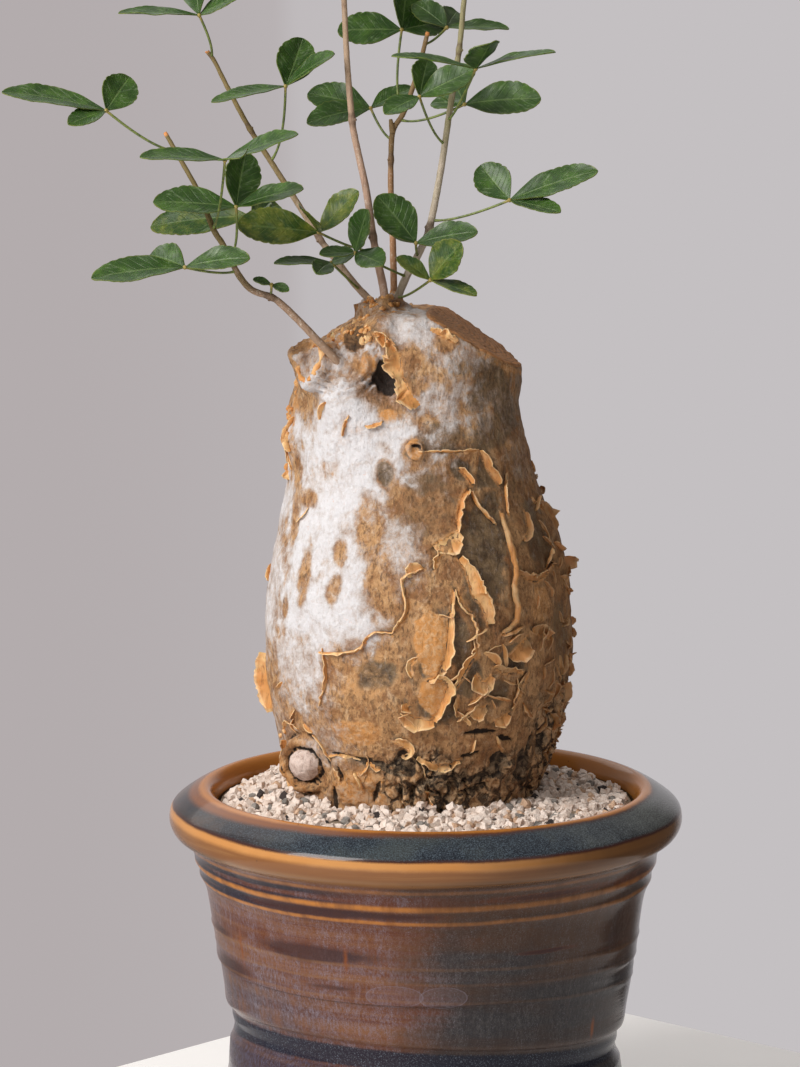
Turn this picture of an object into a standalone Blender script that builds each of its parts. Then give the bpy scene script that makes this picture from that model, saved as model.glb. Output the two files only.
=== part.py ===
"""A potted commiphora: a peeling caudex with five thin leafy stems, in a thrown and glazed pot.

Metres, +Z up, the front of the plant towards -Y. The origin is the centre of the pot's flat base.
"""
import math
import random
from collections import namedtuple

import bmesh
import bpy
from mathutils import Vector, noise

MM = 0.001
SEGMENTS = 40
GAP = 0.00032  # left between pieces that touch, so that their faceted skins stay clear
SEED = 11

# Pot: (radius, height) down the outside is given from the foot up, then over the rim and down the inside.
POT_FOOT = ((0.0546, 0.0), (0.0562, 0.0016), (0.0574, 0.012), (0.0582, 0.024), (0.0578, 0.0315))
POT_WAIST = ((0.0560, 0.0375), (0.0586, 0.0435), (0.0594, 0.0495))
POT_BODY = ((0.0608, 0.0586), (0.0620, 0.0660), (0.0629, 0.0680), (0.0630, 0.0705), (0.0641, 0.0800))
POT_NECK = ((0.0655, 0.0835), (0.0660, 0.0868), (0.0674, 0.0895), (0.0680, 0.0920), (0.0690, 0.0958))
POT_RIM = ((0.0716, 0.0972), (0.0742, 0.0996), (0.0750, 0.1034), (0.0741, 0.1066), (0.0700, 0.1098))
POT_CREST = ((0.0662, 0.1116), (0.0645, 0.1120), (0.0628, 0.1112))
POT_INSIDE = ((0.0611, 0.1070), (0.0606, 0.0985), (0.0585, 0.0700), (0.0532, 0.0200), (0.0500, 0.0080))
THROWN_TILT = (-0.060, -0.105)  # the waist's ring runs lower to the right and higher at the front
TILT_HEIGHTS = (0.012, 0.040, 0.094)
DRAIN_RADIUS = 0.005
DRAIN_PLACE_RADIUS = 0.027
DRAIN_COUNT = 3

# Soil and the grit that dresses it.
SOIL_TOP = 0.0985
GRIT_TOP = 0.1068
GRIT_HEAP = 0.0028
GRIT_COLUMNS = 64
GRIT_RINGS = 9
GRAIN_RELIEF = 0.0013

# Caudex: (height, centre x, radius), with its centre a little behind the pot's.
CAUDEX_BACK = 0.005
HOLE_FLOOR = 0.060
CAUDEX_BURIED = ((0.060, -0.0038, 0.0270), (0.0982, -0.0040, 0.0352), (0.1102, -0.0040, 0.0368))
CAUDEX_ROWS = (
    (0.1130, -0.0038, 0.0374), (0.1210, -0.0026, 0.0396), (0.1280, -0.0024, 0.0410),
    (0.1345, -0.0025, 0.0427), (0.1430, -0.0024, 0.0441), (0.1520, -0.0016, 0.0446),
    (0.1610, -0.0021, 0.0446), (0.1700, -0.0022, 0.0439), (0.1790, -0.0024, 0.0422),
    (0.1875, -0.0025, 0.0402), (0.1960, -0.0033, 0.0377), (0.2050, -0.0042, 0.0356),
    (0.2140, -0.0055, 0.0344), (0.2230, -0.0055, 0.0325), (0.2310, -0.0046, 0.0322),
    (0.2390, -0.0040, 0.0312), (0.2460, -0.0040, 0.0290), (0.2520, -0.0040, 0.0250),
    (0.2560, -0.0040, 0.0180),
)
BARK_RELIEF = 0.0007
CUT_POINT = (-0.002, 0.0, 0.2528)  # the slanting cut that took the top off, right of the knot
CUT_NORMAL = (0.63, -0.06, 1.0)
SHOULDER_SLOPE = 0.55  # how the top falls away to the left of the knot
SHOULDER_START = (-0.0130, 0.2495)

# Swellings and hollows of the caudex: (turn from the front in degrees, height, outward, spread).
Swelling = namedtuple("Swelling", "turn height out spread")
SWELLINGS = (
    Swelling(-8, 0.2365, -0.0070, 0.0050), Swelling(-34, 0.2275, 0.0052, 0.0090),
    Swelling(3.4, 0.2129, 0.0016, 0.0026),
    Swelling(-74, 0.2120, 0.0018, 0.0050), Swelling(-96, 0.2230, 0.0022, 0.0060),
    Swelling(-30, 0.1180, 0.0016, 0.0080), Swelling(22, 0.1150, -0.0012, 0.0070),
    Swelling(48, 0.1180, 0.0018, 0.0080), Swelling(80, 0.1760, 0.0010, 0.0120),
    Swelling(140, 0.1500, 0.0022, 0.0160), Swelling(-150, 0.1700, 0.0018, 0.0160),
    Swelling(180, 0.2120, 0.0016, 0.0100), Swelling(-120, 0.1200, 0.0018, 0.0090),
    Swelling(120, 0.1190, 0.0020, 0.0090), Swelling(10, 0.1560, 0.0009, 0.0120),
)

# Stumps on the caudex: from, to, radius at each end.
Stump = namedtuple("Stump", "start end root_radius end_radius")
STUMPS = (
    Stump((-0.0120, -0.0080, 0.2260), (-0.0328, -0.0190, 0.2365), 0.0105, 0.0072),
    Stump((-0.0300, -0.0080, 0.2300), (-0.0352, -0.0130, 0.2405), 0.0062, 0.0042),
    Stump((-0.0140, -0.0060, 0.2340), (-0.0198, -0.0205, 0.2436), 0.0090, 0.0050),
    Stump((-0.0130, -0.0010, 0.2380), (-0.0118, -0.0030, 0.2520), 0.0100, 0.0074),
    Stump((-0.0186, 0.0010, 0.2430), (-0.0176, 0.0000, 0.2535), 0.0022, 0.0010),
)
SCAR_TURN = -51.6
SCAR_HEIGHT = 0.1218
SCAR_RADIUS = 0.0074
SCAR_ROLL = 0.0017
KNOB_RADIUS = 0.0046

# Peeling bark: (turn, height, length, width, lean in degrees, lift), each joined along one long edge.
Flake = namedtuple("Flake", "turn height length width lean lift")
FLAKES = (
    Flake(27, 0.2075, 0.0090, 0.0034, 15, 0.0030), Flake(41, 0.2070, 0.0110, 0.0036, -22, 0.0032),
    Flake(45, 0.1960, 0.0130, 0.0040, 8, 0.0028), Flake(31, 0.1950, 0.0120, 0.0036, -28, 0.0028),
    Flake(9, 0.1920, 0.0170, 0.0052, 38, 0.0034), Flake(39, 0.1800, 0.0250, 0.0040, 4, 0.0030),
    Flake(36, 0.1655, 0.0110, 0.0040, 25, 0.0030), Flake(18, 0.1730, 0.0220, 0.0062, -24, 0.0040),
    Flake(6, 0.1590, 0.0200, 0.0066, 6, 0.0036), Flake(-8, 0.1700, 0.0200, 0.0040, 16, 0.0030),
    Flake(3, 0.1450, 0.0120, 0.0070, 40, 0.0042), Flake(45, 0.1550, 0.0100, 0.0050, 60, 0.0034),
    Flake(-27, 0.1560, 0.0130, 0.0040, 80, 0.0026), Flake(-74, 0.1445, 0.0170, 0.0060, -4, 0.0050),
    Flake(74, 0.1745, 0.0060, 0.0040, 10, 0.0030), Flake(60, 0.1420, 0.0100, 0.0050, 30, 0.0034),
    Flake(22, 0.1460, 0.0120, 0.0050, 52, 0.0036), Flake(-12, 0.2330, 0.0150, 0.0060, -34, 0.0050),
    Flake(110, 0.1850, 0.0200, 0.0060, 12, 0.0040), Flake(150, 0.1600, 0.0240, 0.0070, -15, 0.0044),
    Flake(185, 0.1900, 0.0180, 0.0060, 20, 0.0040), Flake(-130, 0.1650, 0.0200, 0.0060, 10, 0.0040),
)
FLAKE_SINK = 0.0013
FLAKE_THICKNESS = 0.0010
FLAKE_STEPS = (3, 2)

# Stems: the route in millimetres, and the radius at the two ends.
Stem = namedtuple("Stem", "route base_radius tip_radius")
STEMS = {
    "stem_a": Stem(
        ((-23.4, -21.8, 235.2), (-26.3, -23.6, 238.6), (-34.6, -26, 247.7), (-40.9, -27, 253.9),
         (-43.6, -27, 255.6), (-48.8, -26, 257.5), (-52.1, -26, 261.1), (-54.3, -26, 265.2),
         (-57.1, -25, 270.5), (-59.6, -24, 274.4), (-63.3, -22, 283.7), (-67.2, -21, 290.8),
         (-73.2, -18, 301)), 1.45, 0.75),
    "stem_b": Stem(
        ((-12.2, -2.0, 248.2), (-15.5, -2, 252.6), (-20.4, -2, 257.9), (-26.1, -2, 265.2),
         (-30.4, -1, 270.7), (-34.7, 0, 277.6), (-43.3, 1, 291), (-50.4, 2, 302), (-56.7, 3, 313.6),
         (-60.4, 4, 321), (-62.6, 4, 324)), 1.4, 0.75),
    "stem_c": Stem(
        ((-12.0, -7.0, 247.5), (-11.9, -7, 253.6), (-12.4, -7.5, 258), (-13.8, -8, 264.5),
         (-15.1, -8, 271.5), (-17.1, -7, 284.8), (-19.7, -6, 296.7), (-21.1, -6, 304.5),
         (-22.5, -5, 321.4), (-23.3, -4, 338.1), (-23.8, -3, 352), (-24.6, -2, 366)), 1.5, 0.8),
    "stem_d": Stem(
        ((-9.0, 3.4, 248.0), (-9.2, 4, 253.7), (-9.5, 6, 267.4), (-10.1, 8, 281.7),
         (-10.1, 9, 293.2), (-9.5, 9, 301.5), (-6.1, 8, 307.4), (-2.3, 8, 318.8), (0.5, 8, 329.6)),
        1.3, 0.8),
    "stem_e": Stem(
        ((-10.6, -2.6, 246.0), (-8.6, -2.8, 253.0), (-5.4, -3.0, 260.7), (-1.8, -3, 267.4),
         (0.9, -3, 274), (3.9, -3, 289), (6.7, -2, 307.4), (9.3, -1, 324.3), (10.7, 0, 338.3),
         (12.4, 1, 350), (14.4, 1, 361)), 1.5, 0.8),
}
STEM_SIDES = 6
SOCKET_DEPTH = 0.004

# Leaves, in millimetres: where the stalk leaves the stem, the hub, and each leaflet's tip, width
# and roll about its own length (0 lies flat, 90 faces the front).
Leaf = namedtuple("Leaf", "stem joint hub leaflets")
Blade = namedtuple("Blade", "tip width roll")
LEAVES = {
    "leaf_a1": Leaf("stem_a", (-43.6, -27, 256.2), (-43.2, -28.6, 259.0),
                    (Blade((-38.2, -30.5, 257.8), 3.4, 40), Blade((-48.2, -28.6, 261), 3.0, 40))),
    "leaf_a2": Leaf("stem_a", (-53.2, -26, 263), (-67, -32, 264),
                    (Blade((-92.5, -37, 263), 11.0, 34), Blade((-77, -24, 268), 10.0, 55),
                     Blade((-49, -38, 268), 9.5, 42))),
    "leaf_a3": Leaf("stem_a", (-59.4, -24, 274), (-55, -45, 293.5),
                    (Blade((-77.5, -50, 296), 9.0, 22), Blade((-50, -62, 295.5), 8.5, 20),
                     Blade((-35.5, -50, 302), 9.0, 30))),
    "leaf_a4": Leaf("stem_a", (-55, -26, 266.5), (-53, -27, 280.5),
                    (Blade((-75.5, -31, 283.5), 11.5, 42), Blade((-51, -24, 296), 12.5, 72),
                     Blade((-34.5, -33, 287), 9.5, 34))),
    "leaf_a6": Leaf("stem_a", (-70.2, -19.5, 296), (-89, -24, 307),
                    (Blade((-117, -27, 314), 10.0, 30), Blade((-83.5, -18, 317), 10.5, 62),
                     Blade((-99, -31, 304), 7.5, 32))),
    "leaf_b1": Leaf("stem_b", (-61.2, 4, 322.2), (-64.5, 0, 334),
                    (Blade((-87, -4, 336), 8.0, 18), Blade((-66, 5, 350), 12.0, 66),
                     Blade((-53, -5, 340), 9.0, 40))),
    "leaf_b2": Leaf("stem_b", (-44.6, 1.2, 293), (-40, -3, 314),
                    (Blade((-61, -8, 311), 8.0, 20), Blade((-36, 0, 328), 12.0, 74),
                     Blade((-26.5, -10, 324), 9.5, 40))),
    "leaf_b3": Leaf("stem_b", (-19.4, -2, 256.9), (-27, -12, 264.5),
                    (Blade((-43, -15, 265.5), 6.5, 20), Blade((-20.5, -15.5, 267.5), 7.5, 44),
                     Blade((-31, -22, 262.5), 6.5, 30))),
    "leaf_b5": Leaf("stem_b", (-32, -0.6, 273.3), (-50, 2, 277),
                    (Blade((-79.5, 6, 276), 11.5, 55), Blade((-46, -10, 279.5), 9.5, 24),
                     Blade((-43, 14, 281), 9.0, 40))),
    "leaf_c1": Leaf("stem_c", (-14.4, -8, 267.5), (-30.5, -12, 273),
                    (Blade((-53, -17, 277), 12.0, 60), Blade((-20, -16, 285.5), 9.5, 62),
                     Blade((-35, -24, 281), 9.0, 40))),
    "leaf_c2": Leaf("stem_c", (-23.2, -4, 340), (-30, -10, 350),
                    (Blade((-47, -14, 354), 9.5, 34), Blade((-31, -8, 366), 10.5, 62),
                     Blade((-15, -17, 356), 9.0, 36))),
    "leaf_c3": Leaf("stem_c", (-24.3, -2.4, 361), (-22, 3, 372),
                    (Blade((-36, 8, 379), 9.0, 46), Blade((-20, 2, 388), 10.0, 62),
                     Blade((-6, 8, 377), 9.0, 40))),
    "leaf_d1": Leaf("stem_d", (-9.8, 9, 299), (-16, 15, 308),
                    (Blade((-34, 18, 313.5), 10.5, 56), Blade((-34.5, 9, 305), 9.5, 44),
                     Blade((-4, 22, 315), 7.5, 30))),
    "leaf_d2": Leaf("stem_d", (-6.6, 8.2, 306.6), (-7, 17, 330.5),
                    (Blade((-25.5, 16, 331.5), 11.0, 62), Blade((-5.5, 21, 347), 12.0, 66),
                     Blade((5, 23, 334), 9.5, 58))),
    "leaf_d3": Leaf("stem_d", (-7.8, 8.5, 304.6), (11, 3, 309),
                    (Blade((32.5, 0, 312), 12.0, 56), Blade((1.5, 8, 310), 7.0, 40),
                     Blade((6, 12, 320), 10.5, 60))),
    "leaf_d4": Leaf("stem_d", (-0.4, 8, 326), (6, 14, 331),
                    (Blade((-3, 20, 339), 8.5, 40), Blade((24, 16, 332), 7.5, 24),
                     Blade((9, 27, 337), 8.0, 40))),
    "leaf_e1": Leaf("stem_e", (-5.7, -3, 260), (-20, -20, 267.5),
                    (Blade((-17, -23, 280), 11.5, 76), Blade((-30, -23, 268), 6.0, 30),
                     Blade((-12, -31, 265.5), 8.5, 36))),
    "leaf_e2": Leaf("stem_e", (-2.4, -3, 266.3), (-3, -13, 270),
                    (Blade((-13, -14, 284), 12.0, 70), Blade((-9, -2, 278), 8.0, 60),
                     Blade((14, -18, 274.5), 10.0, 44))),
    "leaf_e3": Leaf("stem_e", (-8.2, -2.8, 254), (1, -22, 260),
                    (Blade((9, -26, 271), 12.5, 68), Blade((-8, -22, 267), 6.0, 44),
                     Blade((14, -29, 257), 6.5, 20))),
    "leaf_e4": Leaf("stem_e", (1.3, -3, 276), (23.5, -10, 282),
                    (Blade((16, -4, 292.5), 10.5, 58), Blade((47.5, -14, 292), 10.5, 44),
                     Blade((37.5, -20, 280), 8.0, 24))),
    "leaf_e5": Leaf("stem_e", (5.2, -2.4, 298), (-2, -9, 311),
                    (Blade((13, -10, 319.5), 10.0, 56), Blade((0, -5, 322), 9.5, 60),
                     Blade((-12, -16, 307), 8.0, 30))),
    "leaf_e6": Leaf("stem_e", (6.5, -2, 305), (13.5, -22, 318.5),
                    (Blade((-9.5, -27, 323.5), 8.5, 14), Blade((17, -33, 326), 11.5, 20),
                     Blade((35, -27, 324.5), 8.5, 14))),
    "leaf_e7": Leaf("stem_e", (11.9, 0.7, 347), (19, -2, 354),
                    (Blade((4, -6, 360), 9.0, 36), Blade((24, 0, 370), 10.5, 60),
                     Blade((37, -5, 356), 9.0, 34))),
    "leaf_e8": Leaf("stem_e", (13.9, 1, 358.6), (12, 7, 369),
                    (Blade((-2, 12, 376), 8.5, 50), Blade((14, 9, 385), 9.5, 60),
                     Blade((27, 12, 374), 8.5, 40))),
}
BLADE_THICKNESS = 0.00066  # and the blade's outline: (share of the length, share of the half width)
BLADE_WIDTHS = ((0.0, 0.10), (0.26, 0.58), (0.52, 0.86), (0.64, 0.94), (0.82, 0.69), (1.0, 0.17))
BLADE_FOLD = 0.22
BLADE_DROOP = 0.07
STALK_RADIUS = 0.00050
HUB_RADIUS = 0.00095
STALK_SIDES = 4
STALK_BEND = 0.40
STALK_STEPS = (0.0, 0.3, 0.65, 1.0)

# Plain finishes: colour, roughness, metallic.
FINISHES = {
    "glazed_pot": ((0.145, 0.078, 0.060), 0.22, 0.0),
    "soil": ((0.055, 0.036, 0.024), 0.95, 0.0),
    "grit": ((0.62, 0.56, 0.49), 0.85, 0.0),
    "caudex_bark": ((0.40, 0.27, 0.16), 0.70, 0.0),
    "stem_bark": ((0.24, 0.17, 0.11), 0.75, 0.0),
    "leaf_green": ((0.035, 0.130, 0.048), 0.40, 0.0),
}


def clear_scene():
    for obj in list(bpy.data.objects):
        bpy.data.objects.remove(obj, do_unlink=True)


def finish(name):
    """The named plain material, made once."""
    found = bpy.data.materials.get(name)
    if found:
        return found
    colour, roughness, metallic = FINISHES[name]
    material = bpy.data.materials.new(name)
    material.use_nodes = True
    shader = material.node_tree.nodes["Principled BSDF"]
    shader.inputs["Base Color"].default_value = (*colour, 1.0)
    shader.inputs["Roughness"].default_value = roughness
    shader.inputs["Metallic"].default_value = metallic
    return material


def mesh_object(name, build, finish_name):
    """An object whose mesh the function build fills in, with its faces turned outwards."""
    form = bmesh.new()
    build(form)
    bmesh.ops.recalc_face_normals(form, faces=form.faces)
    mesh = bpy.data.meshes.new(name)
    form.to_mesh(mesh)
    form.free()
    mesh.materials.append(finish(finish_name))
    obj = bpy.data.objects.new(name, mesh)
    bpy.context.scene.collection.objects.link(obj)
    return obj


def shade(obj, degrees=40):
    obj.data.shade_smooth()
    obj.data.set_sharp_from_angle(angle=math.radians(degrees))


def combine(obj, pieces, operation, solver="EXACT"):
    """Unite obj with the pieces, or cut them from it, in one applied Boolean, and remove them."""
    group = bpy.data.collections.new(obj.name + "_pieces")
    bpy.context.scene.collection.children.link(group)
    for piece in pieces:
        bpy.context.scene.collection.objects.unlink(piece)
        group.objects.link(piece)
    modifier = obj.modifiers.new("join", "BOOLEAN")
    modifier.operation = operation
    modifier.solver = solver
    modifier.operand_type = "COLLECTION"
    modifier.collection = group
    graph = bpy.context.evaluated_depsgraph_get()
    mesh = bpy.data.meshes.new_from_object(obj.evaluated_get(graph))
    obj.modifiers.clear()
    obj.data = mesh
    for piece in pieces:
        bpy.data.objects.remove(piece, do_unlink=True)
    bpy.data.collections.remove(group)
    return obj


def ring_of(form, centre, radius, height, count=SEGMENTS):
    """A level ring of vertices, its first one at +X."""
    turns = (2 * math.pi * i / count for i in range(count))
    return [form.verts.new((centre[0] + radius * math.cos(t), centre[1] + radius * math.sin(t), height))
            for t in turns]


def skin(form, rings, closed_loop=False):
    """Quads between each ring and the next, and a flat end at both ends unless the loop is closed."""
    pairs = list(zip(rings, rings[1:]))
    if closed_loop:
        pairs.append((rings[-1], rings[0]))
    for lower, upper in pairs:
        for i in range(len(lower)):
            j = (i + 1) % len(lower)
            form.faces.new((lower[i], lower[j], upper[j], upper[i]))
    if not closed_loop:
        form.faces.new(rings[0])
        form.faces.new(rings[-1])


def thrown_tilt(height):
    """How much of the waist's tilt the outside has at a height: none at the foot and the rim."""
    low, middle, high = TILT_HEIGHTS
    if height <= low or height >= high:
        return 0.0
    if height < middle:
        return (height - low) / (middle - low)
    return (high - height) / (high - middle)


def build_pot(form):
    outside = POT_FOOT + POT_WAIST + POT_BODY + POT_NECK + POT_RIM
    rings = []
    for radius, height in outside:
        ring = ring_of(form, (0.0, 0.0), radius, height)
        share = thrown_tilt(height)
        for vert in ring:
            vert.co.z += share * (THROWN_TILT[0] * vert.co.x + THROWN_TILT[1] * vert.co.y)
        rings.append(ring)
    for radius, height in POT_CREST + POT_INSIDE:
        rings.append(ring_of(form, (0.0, 0.0), radius, height))
    skin(form, rings)


def drain_cutter(index):
    turn = 2 * math.pi * index / DRAIN_COUNT + math.pi / 2
    place = (DRAIN_PLACE_RADIUS * math.cos(turn), DRAIN_PLACE_RADIUS * math.sin(turn))

    def build(form):
        skin(form, [ring_of(form, place, DRAIN_RADIUS, z, 10) for z in (-0.005, 0.0135)])

    return mesh_object(f"drain_cutter_{index}", build, "glazed_pot")


def make_pot():
    pot = mesh_object("pot", build_pot, "glazed_pot")
    combine(pot, [drain_cutter(i) for i in range(DRAIN_COUNT)], "DIFFERENCE")
    shade(pot)


def wall_radius(height):
    """The pot's inner radius at a height."""
    upper = POT_CREST[-1]
    for lower in POT_INSIDE:
        if height >= lower[1]:
            share = (height - lower[1]) / (upper[1] - lower[1])
            return lower[0] + share * (upper[0] - lower[0])
        upper = lower
    return POT_INSIDE[-1][0]


def buried(height):
    """Centre x and radius of the caudex where it stands in the soil and the grit."""
    for lower, upper in zip(CAUDEX_BURIED, CAUDEX_BURIED[1:]):
        if height <= upper[0]:
            share = (height - lower[0]) / (upper[0] - lower[0])
            return tuple(a + share * (b - a) for a, b in zip(lower[1:], upper[1:]))
    return CAUDEX_BURIED[-1][1:]


def hole_ring(form, height, count=SEGMENTS):
    """The ring that clears the caudex at a height. A ring of another count clears its corners too."""
    centre, radius = buried(height)
    radius = radius + GAP if count == SEGMENTS else (radius + GAP) / math.cos(math.pi / count)
    return ring_of(form, (centre, CAUDEX_BACK), radius, height, count)


def build_soil(form):
    heights = [height for _, height in POT_INSIDE[:0:-1] if height < SOIL_TOP] + [SOIL_TOP]
    heights[0] += GAP
    rings = [ring_of(form, (0.0, 0.0), wall_radius(z) - GAP, z) for z in heights]
    rings.append(hole_ring(form, SOIL_TOP))
    rings.append(hole_ring(form, HOLE_FLOOR - GAP))
    skin(form, rings)


def build_grit(form):
    """A bed of grains: a level underside, and a top whose points rise and fall by a seeded draw."""
    draw = random.Random(SEED)
    floor = SOIL_TOP + GAP
    edge = wall_radius(floor) * math.cos(math.pi / SEGMENTS) - GAP
    inner = hole_ring(form, GRIT_TOP + GRIT_HEAP, GRIT_COLUMNS)
    outer = ring_of(form, (0.0, 0.0), edge, GRIT_TOP, GRIT_COLUMNS)
    rings = [hole_ring(form, floor, GRIT_COLUMNS), inner]
    for step in range(1, GRIT_RINGS):
        share = step / GRIT_RINGS
        ring = []
        for a, b in zip(inner, outer):
            slide = share + draw.uniform(-0.3, 0.3) / GRIT_RINGS
            place = a.co.lerp(b.co, slide)
            twist = draw.uniform(-0.3, 0.3) * 2 * math.pi / GRIT_COLUMNS
            place.x, place.y = (place.x * math.cos(twist) - place.y * math.sin(twist),
                                place.x * math.sin(twist) + place.y * math.cos(twist))
            place.z += draw.uniform(-GRAIN_RELIEF, GRAIN_RELIEF)
            ring.append(form.verts.new(place))
        rings.append(ring)
    rings.append(outer)
    rings.append(ring_of(form, (0.0, 0.0), edge, floor, GRIT_COLUMNS))
    skin(form, rings, closed_loop=True)


def row_at(height):
    """Centre x and radius of the caudex above the grit, between its measured rows."""
    rows = CAUDEX_BURIED[-1:] + CAUDEX_ROWS
    for lower, upper in zip(rows, rows[1:]):
        if height <= upper[0]:
            share = max(0.0, (height - lower[0]) / (upper[0] - lower[0]))
            return tuple(a + share * (b - a) for a, b in zip(lower[1:], upper[1:]))
    return rows[-1][1:]


def bark_swell(turn, height, radius):
    """How far the caudex's skin stands out of its plain round form."""
    place = Vector((math.sin(turn), -math.cos(turn), 0.0)) * radius + Vector((0, 0, height))
    out = BARK_RELIEF * noise.noise(place * 70) + BARK_RELIEF * 0.8 * noise.noise(place * 160)
    for bump in SWELLINGS:
        around = (turn - math.radians(bump.turn) + math.pi) % (2 * math.pi) - math.pi
        away = math.hypot(around * radius, height - bump.height) / bump.spread
        out += bump.out * math.exp(-away * away)
    return out


def caudex_place(turn, height, out=0.0):
    """A place on the caudex's skin, out metres off it. A turn of 0 is the front, and grows to +X."""
    centre, radius = row_at(height)
    reach = radius + bark_swell(turn, height, radius) + out
    return Vector((centre + reach * math.sin(turn), CAUDEX_BACK - reach * math.cos(turn), height))


def shoulder_limit(x):
    """The highest the caudex's top may be at x, left of the knot."""
    start, height = SHOULDER_START
    return height + SHOULDER_SLOPE * min(0.0, x - start)


def build_caudex_body(form):
    rings = []
    for height, centre, radius in CAUDEX_BURIED:
        rings.append(ring_of(form, (centre, CAUDEX_BACK), radius, height))
    for height, _, _ in CAUDEX_ROWS:
        ring = []
        for i in range(SEGMENTS):
            place = caudex_place(2 * math.pi * i / SEGMENTS + math.pi / 2, height)
            limit = shoulder_limit(place.x)
            if place.z > limit:
                place.z = limit + 0.12 * (place.z - limit)
            ring.append(form.verts.new(place))
        rings.append(ring)
    skin(form, rings)
    cut = bmesh.ops.bisect_plane(
        form, geom=form.verts[:] + form.edges[:] + form.faces[:], plane_co=CUT_POINT,
        plane_no=Vector(CUT_NORMAL).normalized(), clear_outer=True)
    edges = [item for item in cut["geom_cut"] if isinstance(item, bmesh.types.BMEdge)]
    bmesh.ops.contextual_create(form, geom=edges)


def sweep(form, points, radii, sides):
    """A closed tube of the given radii along the points."""
    rings = []
    side = None
    for i, point in enumerate(points):
        along = (points[min(i + 1, len(points) - 1)] - points[max(i - 1, 0)]).normalized()
        if side is None:
            side = along.orthogonal().normalized()
        side = (side - along * side.dot(along)).normalized()
        other = along.cross(side)
        turns = (2 * math.pi * k / sides for k in range(sides))
        rings.append([form.verts.new(point + radii[i] * (math.cos(t) * side + math.sin(t) * other))
                      for t in turns])
    skin(form, rings)


def make_stump(index, stump):
    """A short tapered stump, its end cut flat inside a slightly raised lip."""
    start, end = Vector(stump.start), Vector(stump.end)
    shares = (0.0, 0.5, 0.86, 1.0)
    swell = (1.0, 1.0, 1.10, 0.92)
    spread = stump.end_radius - stump.root_radius

    def build(form):
        points = [start.lerp(end, share) for share in shares]
        radii = [(stump.root_radius + spread * share) * more for share, more in zip(shares, swell)]
        sweep(form, points, radii, 10)

    return mesh_object(f"stump_{index}", build, "caudex_bark")


def make_flake(index, flake):
    """A thin sheet of bark, sunk in along one long edge and curling off the skin at the other."""
    along, across = FLAKE_STEPS
    lean = math.radians(flake.lean)
    _, radius = row_at(flake.height)

    def place(i, j, inner):
        u = flake.length * (i / along - 0.5)
        v = flake.width * (j / across) * (1.0 - 0.35 * abs(2 * i / along - 1) ** 2)
        turn = math.radians(flake.turn) + (u * math.sin(lean) + v * math.cos(lean)) / radius
        height = flake.height + u * math.cos(lean) - v * math.sin(lean)
        lift = flake.lift * (j / across) ** 1.6 * (1.0 + 0.25 * math.sin(1.9 * i + index))
        return caudex_place(turn, height, lift - FLAKE_SINK - (FLAKE_THICKNESS if inner else 0.0))

    def build(form):
        layers = [[[form.verts.new(place(i, j, inner)) for j in range(across + 1)]
                   for i in range(along + 1)] for inner in (False, True)]
        for i in range(along):
            for j in range(across):
                for layer in layers:
                    a, b = layer[i][j], layer[i + 1][j]
                    c, d = layer[i + 1][j + 1], layer[i][j + 1]
                    form.faces.new((a, b, c))
                    form.faces.new((a, c, d))
        rim = ([(i, 0) for i in range(along)] + [(along, j) for j in range(across)]
               + [(i, across) for i in range(along, 0, -1)] + [(0, j) for j in range(across, 0, -1)])
        for (i, j), (k, m) in zip(rim, rim[1:] + rim[:1]):
            form.faces.new((layers[0][i][j], layers[0][k][m], layers[1][k][m], layers[1][i][j]))

    return mesh_object(f"flake_{index}", build, "caudex_bark")


def make_scar():
    """The ring of healed bark near the soil, and the round knob inside it."""
    turn = math.radians(SCAR_TURN)
    out = (caudex_place(turn, SCAR_HEIGHT, 0.01) - caudex_place(turn, SCAR_HEIGHT)).normalized()
    middle = caudex_place(turn, SCAR_HEIGHT)
    side = out.cross(Vector((0, 0, 1))).normalized()
    up = side.cross(out)

    def build_roll(form):
        rings = []
        for i in range(14):
            t = 2 * math.pi * i / 14
            arm = side * math.cos(t) + up * (1.08 * math.sin(t))
            centre = middle + arm * SCAR_RADIUS - out * 0.0005
            turns = (2 * math.pi * k / 6 for k in range(6))
            rings.append([form.verts.new(centre + SCAR_ROLL * (math.cos(s) * arm + math.sin(s) * out))
                          for s in turns])
        skin(form, rings, closed_loop=True)

    def build_knob(form):
        bmesh.ops.create_icosphere(form, subdivisions=2, radius=KNOB_RADIUS)
        for vert in form.verts:
            vert.co = middle + up * 0.0010 + vert.co * (1 + 0.05 * noise.noise(vert.co * 400))

    return [mesh_object("scar_roll", build_roll, "caudex_bark"),
            mesh_object("scar_knob", build_knob, "caudex_bark")]


def stem_path(stem):
    """The stem's points in metres."""
    return [Vector(point) * MM for point in stem.route]


def stem_radii(stem):
    """A steady taper, with each third point a little swollen, as a node is."""
    last = len(stem.route) - 1
    radii = []
    for i in range(last + 1):
        radius = stem.base_radius + (stem.tip_radius - stem.base_radius) * i / last
        radii.append(radius * MM * (1.22 if i > 2 and i % 3 == 1 else 1.0))
    return radii


def make_socket(name, stem):
    """The cutter of the plain hole that the stem's foot stands in."""
    path = stem_path(stem)
    along = (path[1] - path[0]).normalized()
    foot = path[0] - along * GAP
    radius = stem.base_radius * MM / math.cos(math.pi / STEM_SIDES) + GAP

    def build(form):
        sweep(form, [foot, foot + along * (SOCKET_DEPTH * 4)], [radius, radius], 8)

    return mesh_object(name + "_socket", build, "caudex_bark")


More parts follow.
